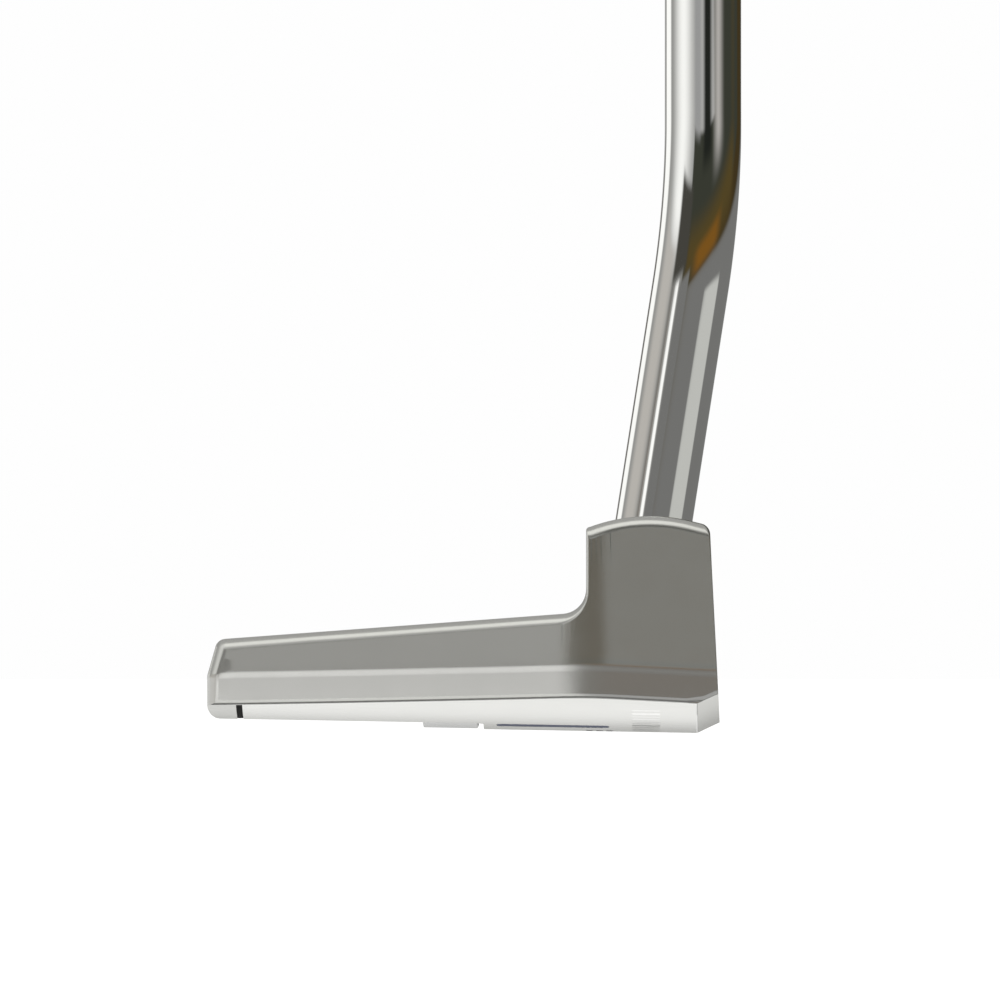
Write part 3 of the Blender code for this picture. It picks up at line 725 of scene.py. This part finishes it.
def sloped_prism(outline, low, high):
    """A block with this outline whose bottom and top run along the deck's top."""
    return loft([[(x, y, deck_top(x) + lift) for x, y in outline] for lift in (low, high)])


def deck_shapes():
    front = BLOCK_REAR_X - GAP - 0.2
    rear = DECK_REAR_X
    slot_x = CAVITY_FRONT_X - 0.73
    corners = [
        ((front, SHELF_TOP + GAP), 0.2),
        ((front, deck_top(front)), 0.7),
        ((rear, deck_top(rear)), 1.3),
        ((rear, DECK_FOOT_Z), 0.55),
        ((slot_x, DECK_FOOT_Z), 0.5),
        ((slot_x, SHELF_TOP + GAP), 0.1),
    ]
    profile = []
    for i, (corner, radius) in enumerate(corners):
        before = corners[i - 1][0]
        after = corners[(i + 1) % len(corners)][0]
        profile += rounded_corner(before, corner, after, radius, 6)
    half_width = WING_INNER_Y - GAP
    deck = object_from("deck", prism_y(profile, -half_width, half_width), putter)
    x, _, length, width = plan_of(*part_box("sight_line_inlay"))
    groove = rounded_rectangle(x, 0.0, length + 0.1, width + 0.1, 0.5)
    line = rounded_rectangle(x, 0.0, length, width, 0.45)
    cuts = [sloped_prism(groove, -0.5, 4.0)]
    cuts += [screw_cut(side, 3.0, 7.6) for side in (-1, 1)]
    shaped(deck, cuts)
    shaped(deck, [slab_over_sole(0.09, 60.0)], "INTERSECT")
    bevelled(deck, 0.22)
    inlay = object_from("sight_line", sloped_prism(line, -0.45, -0.04), putter)
    return smooth(deck), smooth(inlay)


def bend_path(steps):
    """Points of the shaft's axis through the bend, each with its direction."""
    angle = LOWER.angle(UPPER)
    start = Vector(BEND_POINT) - LOWER * (BEND_RADIUS * tan(angle / 2))
    inward = (UPPER - LOWER * LOWER.dot(UPPER)).normalized()
    path = []
    for i in range(steps + 1):
        a = angle * i / steps
        place = start + BEND_RADIUS * (sin(a) * LOWER + (1 - cos(a)) * inward)
        path.append((place, cos(a) * LOWER + sin(a) * inward))
    return path


def shaft_path():
    """Points of the shaft's axis, each with its direction and radius."""
    foot = on_lower_axis(depth_at(SHAFT_FOOT_Z))
    bend = bend_path(40)
    path = [(foot, LOWER, TIP_RADIUS)]
    path += [(point, LOWER, TIP_RADIUS) for point in map(Vector, between(foot, bend[0][0], 10))]
    path += [(place, direction, TIP_RADIUS) for place, direction in bend]
    corner = Vector(BEND_POINT)
    for i in range(STEP_COUNT):
        along = STEP_START + i * STEP_GAP
        for j in range(7):
            part = j / 6
            eased = part * part * (3 - 2 * part)
            radius = TIP_RADIUS + (i + eased) * STEP_RISE
            path.append((corner + UPPER * (along + STEP_LENGTH * part), UPPER, radius))
    path.append((corner + UPPER * (SHAFT_END - 0.3), UPPER, BUTT_RADIUS))
    path.append((corner + UPPER * SHAFT_END, UPPER, BUTT_RADIUS - 0.2))
    return path


def swept_tube(name, path, wall, sides=128):
    """An open-ended tube along a path, with a direction and a radius at each point."""
    rings = []
    across = Vector((1.0, 0.0, 0.0))
    inner_rings = []
    for place, direction, radius in path:
        across = (across - direction * across.dot(direction)).normalized()
        other = direction.cross(across)
        spokes = [
            cos(2 * pi * i / sides) * across + sin(2 * pi * i / sides) * other
            for i in range(sides)
        ]
        rings.append([place + radius * spoke for spoke in spokes])
        inner_rings.append([place + (radius - wall) * spoke for spoke in spokes])
    return object_from(name, loft(rings + list(reversed(inner_rings)), closed=True), putter)


def sleeve(name, inner, outer, low, high, sides=128):
    """A short tube along local Z with broken edges."""
    lip = (outer - inner) * 0.3
    section = [
        (inner, low), (outer - lip, low), (outer, low + lip),
        (outer, high - lip), (outer - lip, high), (inner, high),
    ]
    rings = [
        [(r * cos(2 * pi * i / sides), r * sin(2 * pi * i / sides), z) for i in range(sides)]
        for r, z in section
    ]
    return object_from(name, loft(rings, closed=True), putter)


def along_shaft(thing):
    """Moves a mesh modelled along Z onto the shaft's upper axis, from the bend's corner."""
    turn = Matrix.Translation(Vector(BEND_POINT) * MM) @ Matrix.Rotation(-LIE_LEAN, 4, "X")
    thing.data.transform(turn)
    return thing


def grip_section(s):
    """Width and depths of the grip at a distance from its lower end."""
    for (s1, *low), (s2, *high) in zip(GRIP_SECTIONS, GRIP_SECTIONS[1:]):
        if s <= s2:
            part = (s - s1) / (s2 - s1)
            return [a + (b - a) * part for a, b in zip(low, high)]
    return list(GRIP_SECTIONS[-1][1:])


def softened_section(s):
    """The section averaged over its neighbourhood, so that the sides run without kinks."""
    reach = min(9.0, s * 0.9, (GRIP_LENGTH - s) * 0.9)
    samples = [grip_section(s + reach * t) for t in (-1.0, -0.5, 0.0, 0.5, 1.0)]
    return [sum(values) / len(values) for values in zip(*samples)]


def grip_point(a, width, front, back):
    """A point of a grip section: flat towards the thumbs, rounded towards the palms."""
    power = 0.42 if sin(a) < 0 else 0.9
    reach = front if sin(a) < 0 else back
    x = width / 2 * abs(cos(a)) ** power * (1 if cos(a) > 0 else -1)
    y = reach * abs(sin(a)) ** power * (1 if sin(a) > 0 else -1)
    return Vector((x, y))


def even_section(width, front, back, count):
    """Points of a section at equal distances round it, each with its share of the way round."""
    fine = [grip_point(2 * pi * i / 720, width, front, back) for i in range(720)]
    lengths = [0.0]
    for a, b in zip(fine, fine[1:] + fine[:1]):
        lengths.append(lengths[-1] + (b - a).length)
    total = lengths[-1]
    points = []
    j = 0
    for i in range(count):
        target = total * i / count
        while lengths[j + 1] < target:
            j += 1
        part = (target - lengths[j]) / (lengths[j + 1] - lengths[j])
        points.append(fine[j].lerp(fine[(j + 1) % 720], part))
    return points


def pulse(value, width):
    """1 at whole numbers, falling smoothly to 0 at width away from them."""
    distance = abs(value - round(value)) / width
    return (1 - min(1.0, distance) ** 2) ** 2


def grip_pattern(s, share):
    """Depth of the moulded pattern: crossed grooves on the palm side, short ribs on the flat."""
    low, high = FLAT_SHARE
    ends = min(1.0, max(0.0, (s - 9.0) / 2.0))
    ends *= min(1.0, max(0.0, (GRIP_LENGTH - 11.0 - s) / 2.0))
    edge = min(1.0, abs(share - low) / 0.02, abs(share - high) / 0.02)
    if low < share < high:
        return RIB_DEPTH * ends * edge * max(pulse(s / RIB_PITCH, 0.2), pulse(share * 30, 0.16))
    u, v = s / GROOVE_PITCH + share * 20, s / GROOVE_PITCH - share * 20
    return GROOVE_DEPTH * ends * edge * max(pulse(u, 0.17), pulse(v, 0.17))


def grip_shape():
    rows = 640
    count = 208
    bore = [(GRIP_BORE * cos(2 * pi * i / count), GRIP_BORE * sin(2 * pi * i / count))
            for i in range(count)]
    rings = [[(x, y, GRIP_START) for x, y in bore]]
    for row in range(rows + 1):
        s = GRIP_LENGTH * row / rows
        width, front, back = softened_section(s)
        end = min(s, GRIP_LENGTH - s)
        lip = 0.5 * (1 - sqrt(max(0.0, 1 - (1 - min(1.0, end / 0.5)) ** 2)))
        ring = []
        points = even_section(width, front, back, count)
        for i, point in enumerate(points):
            along = points[(i + 1) % count] - points[i - 1]
            normal = Vector((along.y, -along.x)).normalized()
            depth = grip_pattern(s, i / count) + lip
            moved = point - normal * depth
            ring.append((moved.x, moved.y, GRIP_START + s))
        rings.append(ring)
    rings.append([(x, y, GRIP_START + GRIP_LENGTH) for x, y in bore])
    grip = object_from("rubber_grip", loft(rings, closed=True), putter)
    return smooth(along_shaft(grip), 50.0, weighted=False)


def cap_shape():
    foot = UPPER_LENGTH - CAP_THICKNESS
    _, width, front, back = GRIP_SECTIONS[-1]
    count = 160
    rings = []
    for inward, rise in CAP_LEVELS:
        ring = even_section(width - 2 * inward, front - inward, back - inward, count)
        rings.append([(p.x, p.y, foot + rise) for p in ring])
    cap = object_from("grip_end_cap", loft(rings), putter)
    shaped(cap, [cylinder(CAP_PLUG_RADIUS, (0, 0, foot - 9), (0, 0, foot + 1))], "UNION")
    shaped(cap, [cylinder(VENT_RADIUS, (0, 0, foot - 20), (0, 0, foot + 9), sides=48)])
    return smooth(along_shaft(cap), 40.0)


# ---- node helpers

def add(tree, kind, inputs=None, **settings):
    """Adds a shader node; inputs maps an input's name or index to a value or a socket."""
    node = tree.nodes.new(kind)
    for name, value in settings.items():
        setattr(node, name, value)
    for name, value in (inputs or {}).items():
        if isinstance(value, bpy.types.NodeSocket):
            tree.links.new(value, node.inputs[name])
        else:
            node.inputs[name].default_value = value
    return node


def maths(tree, operation, a, b=0.0):
    return add(tree, "ShaderNodeMath", {0: a, 1: b}, operation=operation).outputs[0]


def step_up(tree, value, low, high):
    """0 below low, 1 above high, smooth between."""
    node = add(
        tree, "ShaderNodeMapRange",
        {"Value": value, "From Min": low, "From Max": high},
        interpolation_type="SMOOTHSTEP",
    )
    return node.outputs["Result"]


def scaled(tree, value, low, high):
    """A 0 to 1 value brought into a range."""
    node = add(tree, "ShaderNodeMapRange", {"Value": value, "To Min": low, "To Max": high})
    return node.outputs["Result"]


def mixed(tree, factor, a, b):
    node = add(
        tree, "ShaderNodeMix", {"Factor": factor, 6: a, 7: b}, data_type="RGBA"
    )
    return node.outputs[2]


def place(tree):
    """The position on the object in metres."""
    return add(tree, "ShaderNodeNewGeometry").outputs["Position"]


def noise(tree, scale, detail=3.0, roughness=0.55, vector=None):
    node = add(
        tree, "ShaderNodeTexNoise",
        {"Vector": vector or place(tree), "Scale": scale, "Detail": detail,
         "Roughness": roughness},
    )
    return node.outputs["Fac"]


def stretched(tree, scale):
    return add(
        tree, "ShaderNodeVectorMath", {0: place(tree), 1: scale}, operation="MULTIPLY"
    ).outputs[0]


def bump(tree, height, strength, distance):
    inputs = {"Height": height, "Strength": strength, "Distance": distance}
    return add(tree, "ShaderNodeBump", inputs).outputs["Normal"]


def new_material(name, metallic=0.0, **constants):
    """A Principled material; constants go straight onto the shader's own sockets."""
    made = bpy.data.materials.new(name)
    made.use_nodes = True
    tree = made.node_tree
    shader = tree.nodes["Principled BSDF"]
    shader.inputs["Metallic"].default_value = metallic
    for key, value in constants.items():
        shader.inputs[key.replace("_", " ")].default_value = value
    return made, tree, shader


def finished(base, patches, tones, grain, rough, height, relief):
    """Completes a material: patches mix two tones, grain runs between two roughnesses, and
    height is raised by the strength and distance in relief."""
    made, tree, shader = base
    dark, light = tones
    for name, value in (
        ("Base Color", mixed(tree, patches, (*dark, 1.0), (*light, 1.0))),
        ("Roughness", scaled(tree, grain, *rough)),
        ("Normal", bump(tree, height, *relief)),
    ):
        tree.links.new(value, shader.inputs[name])
    return made


# ---- materials

def blasted_steel(name, dark, light, low, high):
    """Steel with a fine bead-blasted grain, which scatters part of the light evenly."""
    base = new_material(name, 0.8)
    tree = base[1]
    return finished(
        base, noise(tree, 55.0, 4.0), (dark, light), noise(tree, 400.0), (low, high),
        noise(tree, 2600.0, 2.0), (0.05, 0.00002),
    )


def milled_steel(name):
    """The face: fly-cut arcs with a fine pitch across the blasted steel."""
    base = new_material(name, 1.0)
    tree = base[1]
    turned = add(
        tree, "ShaderNodeVectorMath", {0: place(tree), 1: (0.0, 0.09, 0.06)},
        operation="SUBTRACT",
    ).outputs[0]
    distance = add(tree, "ShaderNodeVectorMath", {0: turned}, operation="LENGTH").outputs["Value"]
    wave = maths(tree, "SINE", maths(tree, "MULTIPLY", distance, 2 * pi / 0.0006))
    height = maths(tree, "ADD", maths(tree, "MULTIPLY", wave, 0.5), noise(tree, 2400.0, 2.0))
    return finished(
        base, noise(tree, 60.0), ((0.56, 0.56, 0.54), (0.64, 0.64, 0.62)),
        noise(tree, 300.0), (0.2, 0.3), height, (0.25, 0.00003),
    )


def brushed_metal(name, dark, light, low, high, direction, strength=0.08):
    """Metal with fine lines; direction holds the lines' squeeze along X, Y and Z."""
    base = new_material(name, 1.0)
    tree = base[1]
    lines = noise(tree, 1.0, 4.0, 0.6, stretched(tree, direction))
    return finished(
        base, noise(tree, 45.0), (dark, light), lines, (low, high), lines, (strength, 0.00002)
    )


def chrome(name):
    base = new_material(name, 1.0)
    tree = base[1]
    haze = noise(tree, 120.0, 4.0)
    return finished(
        base, haze, ((0.9, 0.9, 0.885), (0.93, 0.93, 0.92)),
        noise(tree, 900.0, 2.0), (0.03, 0.055), haze, (0.02, 0.00004),
    )


def enamel(name, dark, light, roughness=0.45):
    """Paint fill with a slight orange-peel surface."""
    base = new_material(name, 0.0, Specular_IOR_Level=0.15)
    tree = base[1]
    return finished(
        base, noise(tree, 300.0), (dark, light),
        noise(tree, 800.0), (roughness - 0.04, roughness + 0.06),
        noise(tree, 1500.0, 2.0), (0.08, 0.00003),
    )


def plain_solid(name, dark, light, low, high, grain, strength, **constants):
    """Glue, plastic, paper or rubber: a grainy, matt surface."""
    base = new_material(name, 0.0, **constants)
    fine = noise(base[1], grain, 4.0)
    return finished(
        base, noise(base[1], grain * 0.1, 4.0), (dark, light), fine, (low, high),
        fine, (strength, 0.0001),
    )


def banded_label(name, axis_start, axis, stripes):
    """A printed sleeve: stripes, each from one distance along the shaft to another."""
    base = new_material(name, 0.0, Coat_Weight=0.6, Coat_Roughness=0.1)
    made, tree, shader = base
    finished(
        base, noise(tree, 500.0), ((0.74, 0.75, 0.77), (0.82, 0.83, 0.85)),
        noise(tree, 900.0), (0.28, 0.4), noise(tree, 700.0), (0.05, 0.00005),
    )
    relative = add(
        tree, "ShaderNodeVectorMath", {0: place(tree), 1: axis_start}, operation="SUBTRACT"
    ).outputs[0]
    along = add(
        tree, "ShaderNodeVectorMath", {0: relative, 1: axis}, operation="DOT_PRODUCT"
    ).outputs["Value"]
    colour = shader.inputs["Base Color"].links[0].from_socket
    for low, high, stripe in stripes:
        inside = maths(
            tree, "MULTIPLY",
            maths(tree, "GREATER_THAN", along, low), maths(tree, "LESS_THAN", along, high),
        )
        colour = mixed(tree, inside, colour, (*stripe, 1.0))
    tree.links.new(colour, shader.inputs["Base Color"])
    return made


def finish_with(thing, *finishes):
    thing.data.materials.clear()
    for finish in finishes:
        thing.data.materials.append(finish)


def mark_faces(thing, chooser, index):
    """Gives a material slot to the faces whose centre (mm) and normal the chooser accepts."""
    for polygon in thing.data.polygons:
        if chooser(polygon.center / MM, polygon.normal):
            polygon.material_index = index


# ---- studio

# Softboxes and flags round the object. Azimuths are from the camera's side towards the face
# (+X), elevations above the horizon, both in degrees, with the width of the soft edge.
# azimuth low, high, edge, elevation low, high, edge, brightness
PANELS = (
    # the ground: bright behind and to the tail's side, darker straight below
    (-181, 181, 0.1, -91, -11, 5, (0.95, 0.95, 0.93)),
    (-8, 118, 16, -91, -11, 5, (0.46, 0.46, 0.46)),
    (-181, 181, 0.1, -91, -70, 12, (0.10, 0.10, 0.10)),
    (130, 181, 20, -91, -26, 6, (0.10, 0.10, 0.10)),
    (-181, -130, 20, -91, -26, 6, (0.10, 0.10, 0.10)),
    (-28.6, 165, 3, -12, 2.0, 1.5, (0.178, 0.178, 0.173)),
    (43.5, 90, 5, -12, -5.5, 2, (0.54, 0.545, 0.52)),
    # a dark room on the face's side, with a warm glow along the horizon
    (-28, 181, 5, 2.0, 36, 2, (0.042, 0.045, 0.034)),
    (60, 181, 20, 2.0, 8, 3, (0.052, 0.036, 0.014)),
    (-24, 110, 24, 4.0, 15, 10, (0.088, 0.062, 0.020)),
    (4, 66, 26, 3.0, 9, 4, (0.20, 0.09, 0.014)),
    (44, 66, 26, 24, 50, 14, (0.47, 0.45, 0.43)),
    (4, 30, 14, 28, 50, 8, (0.016, 0.018, 0.015)),
    (-30, -8, 12, 35, 50, 5, (0.33, 0.33, 0.33)),
    # softboxes on the tail's side
    (-92, -47, 44, 13, 50, 10, (1.0, 1.0, 0.98)),
    (-147, -118, 8, 3, 13, 4, (1.05, 1.05, 1.03)),
    (-108, -49, 8, 0, 7, 2, (0.42, 0.38, 0.33)),
    (-102, -62, 24, 7, 13, 2, (0.50, 0.48, 0.45)),
    (-55, -51, 3, 0, 7, 3, (0.06, 0.04, 0.03)),
    (-58, -22, 8, 8, 24, 3, (0.06, 0.058, 0.05)),
    (-46, -36, 4, -2, 7, 2, (1.1, 1.1, 1.08)),
    (-33, -8, 4, -2, 6, 2, (0.178, 0.178, 0.173)),
    (-181, -150, 4, 3, 9, 3, (0.12, 0.11, 0.10)),
    # low lights in front, which the head's band and tail pick up
    (-160, -64, 16, -12, 2, 2.5, (0.85, 0.85, 0.85)),
    (-60, -14, 20, -10, 0.3, 1.5, (1.25, 1.25, 1.25)),
    (-80, 80, 20, 47, 86, 10, (1.2, 1.2, 1.16)),
)
# What the camera sees behind the object, and the floor's own glow
BACKDROP = 0.991
FLOOR_GLOW = 0.86
FLOOR_RADIUS = 6000.0
FLOOR_Z = -0.6
# The lights for the head's walls: azimuth and elevation in degrees, width and height in metres,
# power in watts, colour
WALL_LIGHTS = (
    (-28.0, 15.0, 0.40, 0.26, 0.125, (1.0, 1.0, 1.0)),
    (22.0, 15.0, 0.40, 0.26, 0.078, (0.88, 1.0, 1.08)),
)
WALL_CENTRE = (-10.0, -45.0, 12.0)
WALL_LIGHT_DISTANCE = 1.2
BASE_LOW = (0.30, 0.30, 0.29)
BASE_HIGH = (0.45, 0.45, 0.44)


def studio():
    scene = bpy.context.scene
    world = bpy.data.worlds.new("studio")
    scene.world = world
    world.use_nodes = True
    tree = world.node_tree
    tree.nodes.clear()
    direction = add(tree, "ShaderNodeTexCoord").outputs["Generated"]
    parts = add(tree, "ShaderNodeSeparateXYZ", {0: direction}).outputs
    turn = maths(tree, "ARCTAN2", parts["X"], maths(tree, "MULTIPLY", parts["Y"], -1.0))
    azimuth = maths(tree, "DEGREES", turn)
    elevation = maths(tree, "DEGREES", maths(tree, "ARCSINE", parts["Z"]))
    colour = mixed(
        tree, step_up(tree, elevation, 0.0, 60.0), (*BASE_LOW, 1.0), (*BASE_HIGH, 1.0)
    )
    for a_low, a_high, a_edge, e_low, e_high, e_edge, light in PANELS:
        mask = None
        for value, low, high, edge in (
            (azimuth, a_low, a_high, a_edge), (elevation, e_low, e_high, e_edge)
        ):
            rise = step_up(tree, value, low - edge / 2, low + edge / 2)
            fall = step_up(tree, value, high + edge / 2, high - edge / 2)
            both = maths(tree, "MULTIPLY", rise, fall)
            mask = both if mask is None else maths(tree, "MULTIPLY", mask, both)
        colour = mixed(tree, mask, colour, (*light, 1.0))
    seen = add(tree, "ShaderNodeLightPath").outputs["Is Camera Ray"]
    colour = mixed(tree, seen, colour, (BACKDROP, BACKDROP, BACKDROP, 1.0))
    background = add(tree, "ShaderNodeBackground", {"Color": colour, "Strength": 1.0})
    output = add(tree, "ShaderNodeOutputWorld")
    tree.links.new(background.outputs[0], output.inputs["Surface"])
    scene.view_settings.view_transform = "Standard"
    scene.view_settings.look = "None"


def wall_lights(head):
    """Two area lights, linked to the head alone, that brighten its drafted walls."""
    lit = bpy.data.collections.new("lit_by_wall_lights")
    lit.objects.link(head)
    for azimuth, elevation, width, height, power, tint in WALL_LIGHTS:
        turn, rise = radians(azimuth), radians(elevation)
        direction = Vector((sin(turn) * cos(rise), -cos(turn) * cos(rise), sin(rise)))
        data = bpy.data.lights.new("wall_light", "AREA")
        data.shape = "RECTANGLE"
        data.size, data.size_y, data.energy = width, height, power
        data.color = tint
        light = bpy.data.objects.new("wall_light", data)
        bpy.context.scene.collection.objects.link(light)
        light.location = Vector(WALL_CENTRE) * MM + direction * WALL_LIGHT_DISTANCE
        light.rotation_mode = "QUATERNION"
        light.rotation_quaternion = direction.to_track_quat("Z", "Y")
        light.visible_camera = False
        light.light_linking.receiver_collection = lit


def floor():
    """A plain white floor that stays out of the reflections."""
    shape = bmesh.new()
    bmesh.ops.create_circle(shape, cap_ends=True, segments=64, radius=FLOOR_RADIUS)
    bmesh.ops.translate(shape, verts=shape.verts, vec=(0.0, 0.0, FLOOR_Z))
    ground = object_from("floor", shape, bpy.context.scene.collection)
    if ground.data.polygons[0].normal.z < 0:
        ground.data.flip_normals()
    made = bpy.data.materials.new("floor_white")
    made.use_nodes = True
    tree = made.node_tree
    tree.nodes.clear()
    glow = add(tree, "ShaderNodeEmission", {"Color": (1, 1, 1, 1), "Strength": FLOOR_GLOW})
    matt = add(tree, "ShaderNodeBsdfDiffuse", {"Color": (0.5, 0.5, 0.5, 1.0)})
    both = add(tree, "ShaderNodeAddShader", {0: glow.outputs[0], 1: matt.outputs[0]})
    output = add(tree, "ShaderNodeOutputMaterial")
    tree.links.new(both.outputs[0], output.inputs["Surface"])
    finish_with(ground, made)
    ground.visible_glossy = False
    ground.visible_diffuse = False
    ground.visible_shadow = False


def camera():
    """The eye stands level with the wings and to the face's side of the picture's middle, and is
    turned towards that middle, so that the block's near and far edges nearly line up."""
    data = bpy.data.cameras.new("camera")
    data.sensor_width = 36.0
    data.lens = data.sensor_width * VIEW_DISTANCE / VIEW_WIDTH
    data.clip_start = 0.1
    data.clip_end = 60.0
    view = bpy.data.objects.new("camera", data)
    bpy.context.scene.collection.objects.link(view)
    x, z = VIEW_CENTRE
    target = Vector((x, VIEW_PLANE_Y, z))
    eye = Vector((EYE[0], VIEW_PLANE_Y - VIEW_DISTANCE, EYE[1]))
    view.location = eye * MM
    view.rotation_mode = "QUATERNION"
    view.rotation_quaternion = (target - eye).to_track_quat("-Z", "Y")
    bpy.context.scene.camera = view


# ---- assembly

def stand_in(piece, slot_name, *nodes):
    """A piece of the putter that rides on its one body and stands for CAD nodes, if any."""
    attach(piece, "root")
    if nodes:
        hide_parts(*nodes)


def dress(piece, finish, slot_name, *nodes):
    finish_with(piece, finish)
    stand_in(piece, slot_name, *nodes)


def keep_node(node, finish):
    """Gives a carried-over CAD node its finish."""
    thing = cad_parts[node]
    for slot in thing.material_slots:
        slot.material = finish


def main():
    steel = blasted_steel("blasted_steel", (0.66, 0.66, 0.635), (0.71, 0.71, 0.685), 0.21, 0.26)
    face = milled_steel("milled_face")
    satin = brushed_metal("satin_sole", (0.93, 0.93, 0.91), (0.97, 0.97, 0.95), 0.16, 0.26,
                          (250.0, 3200.0, 3200.0))
    anodised = brushed_metal("anodised_deck", (0.84, 0.845, 0.85), (0.9, 0.905, 0.91), 0.22, 0.32,
                             (220.0, 3000.0, 3000.0))
    screw_steel = brushed_metal("screw_steel", (0.5, 0.5, 0.5), (0.58, 0.58, 0.57), 0.3, 0.4,
                                (1800.0, 1800.0, 1800.0))
    plated = chrome("shaft_chrome")
    navy = enamel("navy_enamel", NAVY, (0.05, 0.07, 0.16))
    bright = brushed_metal("polished_marks", (0.97, 0.97, 0.96), (0.99, 0.99, 0.98), 0.05, 0.09,
                           (300.0, 3000.0, 3000.0), 0.02)
    black = enamel("black_enamel", (0.012, 0.012, 0.013), (0.022, 0.022, 0.024))
    white = enamel("white_enamel", (0.92, 0.92, 0.91), (0.97, 0.97, 0.96), 0.35)
    glue = plain_solid("epoxy", (0.012, 0.012, 0.011), (0.022, 0.021, 0.02), 0.75, 0.9, 900.0, 0.2,
                       Specular_IOR_Level=0.08)
    plastic = plain_solid("plug_plastic", (0.1, 0.1, 0.1), (0.14, 0.14, 0.14), 0.4, 0.6, 700.0, 0.2)
    paper = plain_solid("tape_paper", (0.72, 0.69, 0.58), (0.82, 0.79, 0.68), 0.7, 0.9, 1200.0, 0.5)
    rubber = plain_solid("grip_rubber", (0.020, 0.020, 0.022), (0.034, 0.034, 0.037), 0.62, 0.82,
                         2600.0, 0.35, Specular_IOR_Level=0.4)
    cap_rubber = plain_solid("cap_rubber", (0.026, 0.026, 0.028), (0.042, 0.042, 0.045), 0.5, 0.7,
                             2400.0, 0.3)

    head = head_shape()
    finish_with(head, steel, face)
    mark_faces(head, lambda c, n: n.x > 0.97 and c.x > 14.0, 1)
    stand_in(head, "head_steel", "head_body")

    plate, inlays, bars = sole_shapes()
    dress(plate, satin, "sole_steel", "sole_plate")
    for node, piece in inlays.items():
        if "badge" in node:
            dress(smooth(piece), navy, "navy_enamel", node)
        else:
            dress(smooth(piece), black, "black_enamel", node)
    for piece in bars:
        dress(smooth(piece), bright, "sole_steel")
    for side, place_name in ((-1, "toe"), (1, "heel")):
        # the near-black bead in each plate slot is glue and also painted shade for the slot's dark
        # inside
        dress(seal_and_painted_shade(side, place_name), glue, "plate_adhesive")

    deck, line = deck_shapes()
    dress(deck, anodised, "deck_aluminium", "alignment_deck")
    dress(line, white, "white_enamel", "sight_line_inlay")

    shaft = smooth(swept_tube("steel_shaft", shaft_path(), WALL), 40.0, weighted=False)
    dress(shaft, plated, "shaft_chrome", "shaft")

    low, high = [GRIP_START - end for end in LABEL_ENDS]
    band = along_shaft(sleeve("label_band", BAND_INNER, BAND_OUTER, low, high))
    stripes = [
        ((GRIP_START - low) * MM, (GRIP_START - high) * MM, tint)
        for low, high, tint in LABEL_STRIPES
    ]
    label = banded_label("band_label", Vector(BEND_POINT) * MM, UPPER, stripes)
    dress(smooth(band), label, "band_label", "shaft_band")

    dress(grip_shape(), rubber, "grip_rubber", "grip")
    dress(cap_shape(), cap_rubber, "cap_rubber", "grip_cap")

    for node, finish in (
        ("sole_plate_bond", glue), ("hosel_epoxy", glue), ("shaft_tip_plug", plastic),
        ("grip_tape", paper), ("deck_screw_toe", screw_steel), ("deck_screw_heel", screw_steel),
    ):
        keep_node(node, finish)

    bpy.data.collections.remove(tools)
    studio()
    wall_lights(head)
    floor()
    camera()


main()
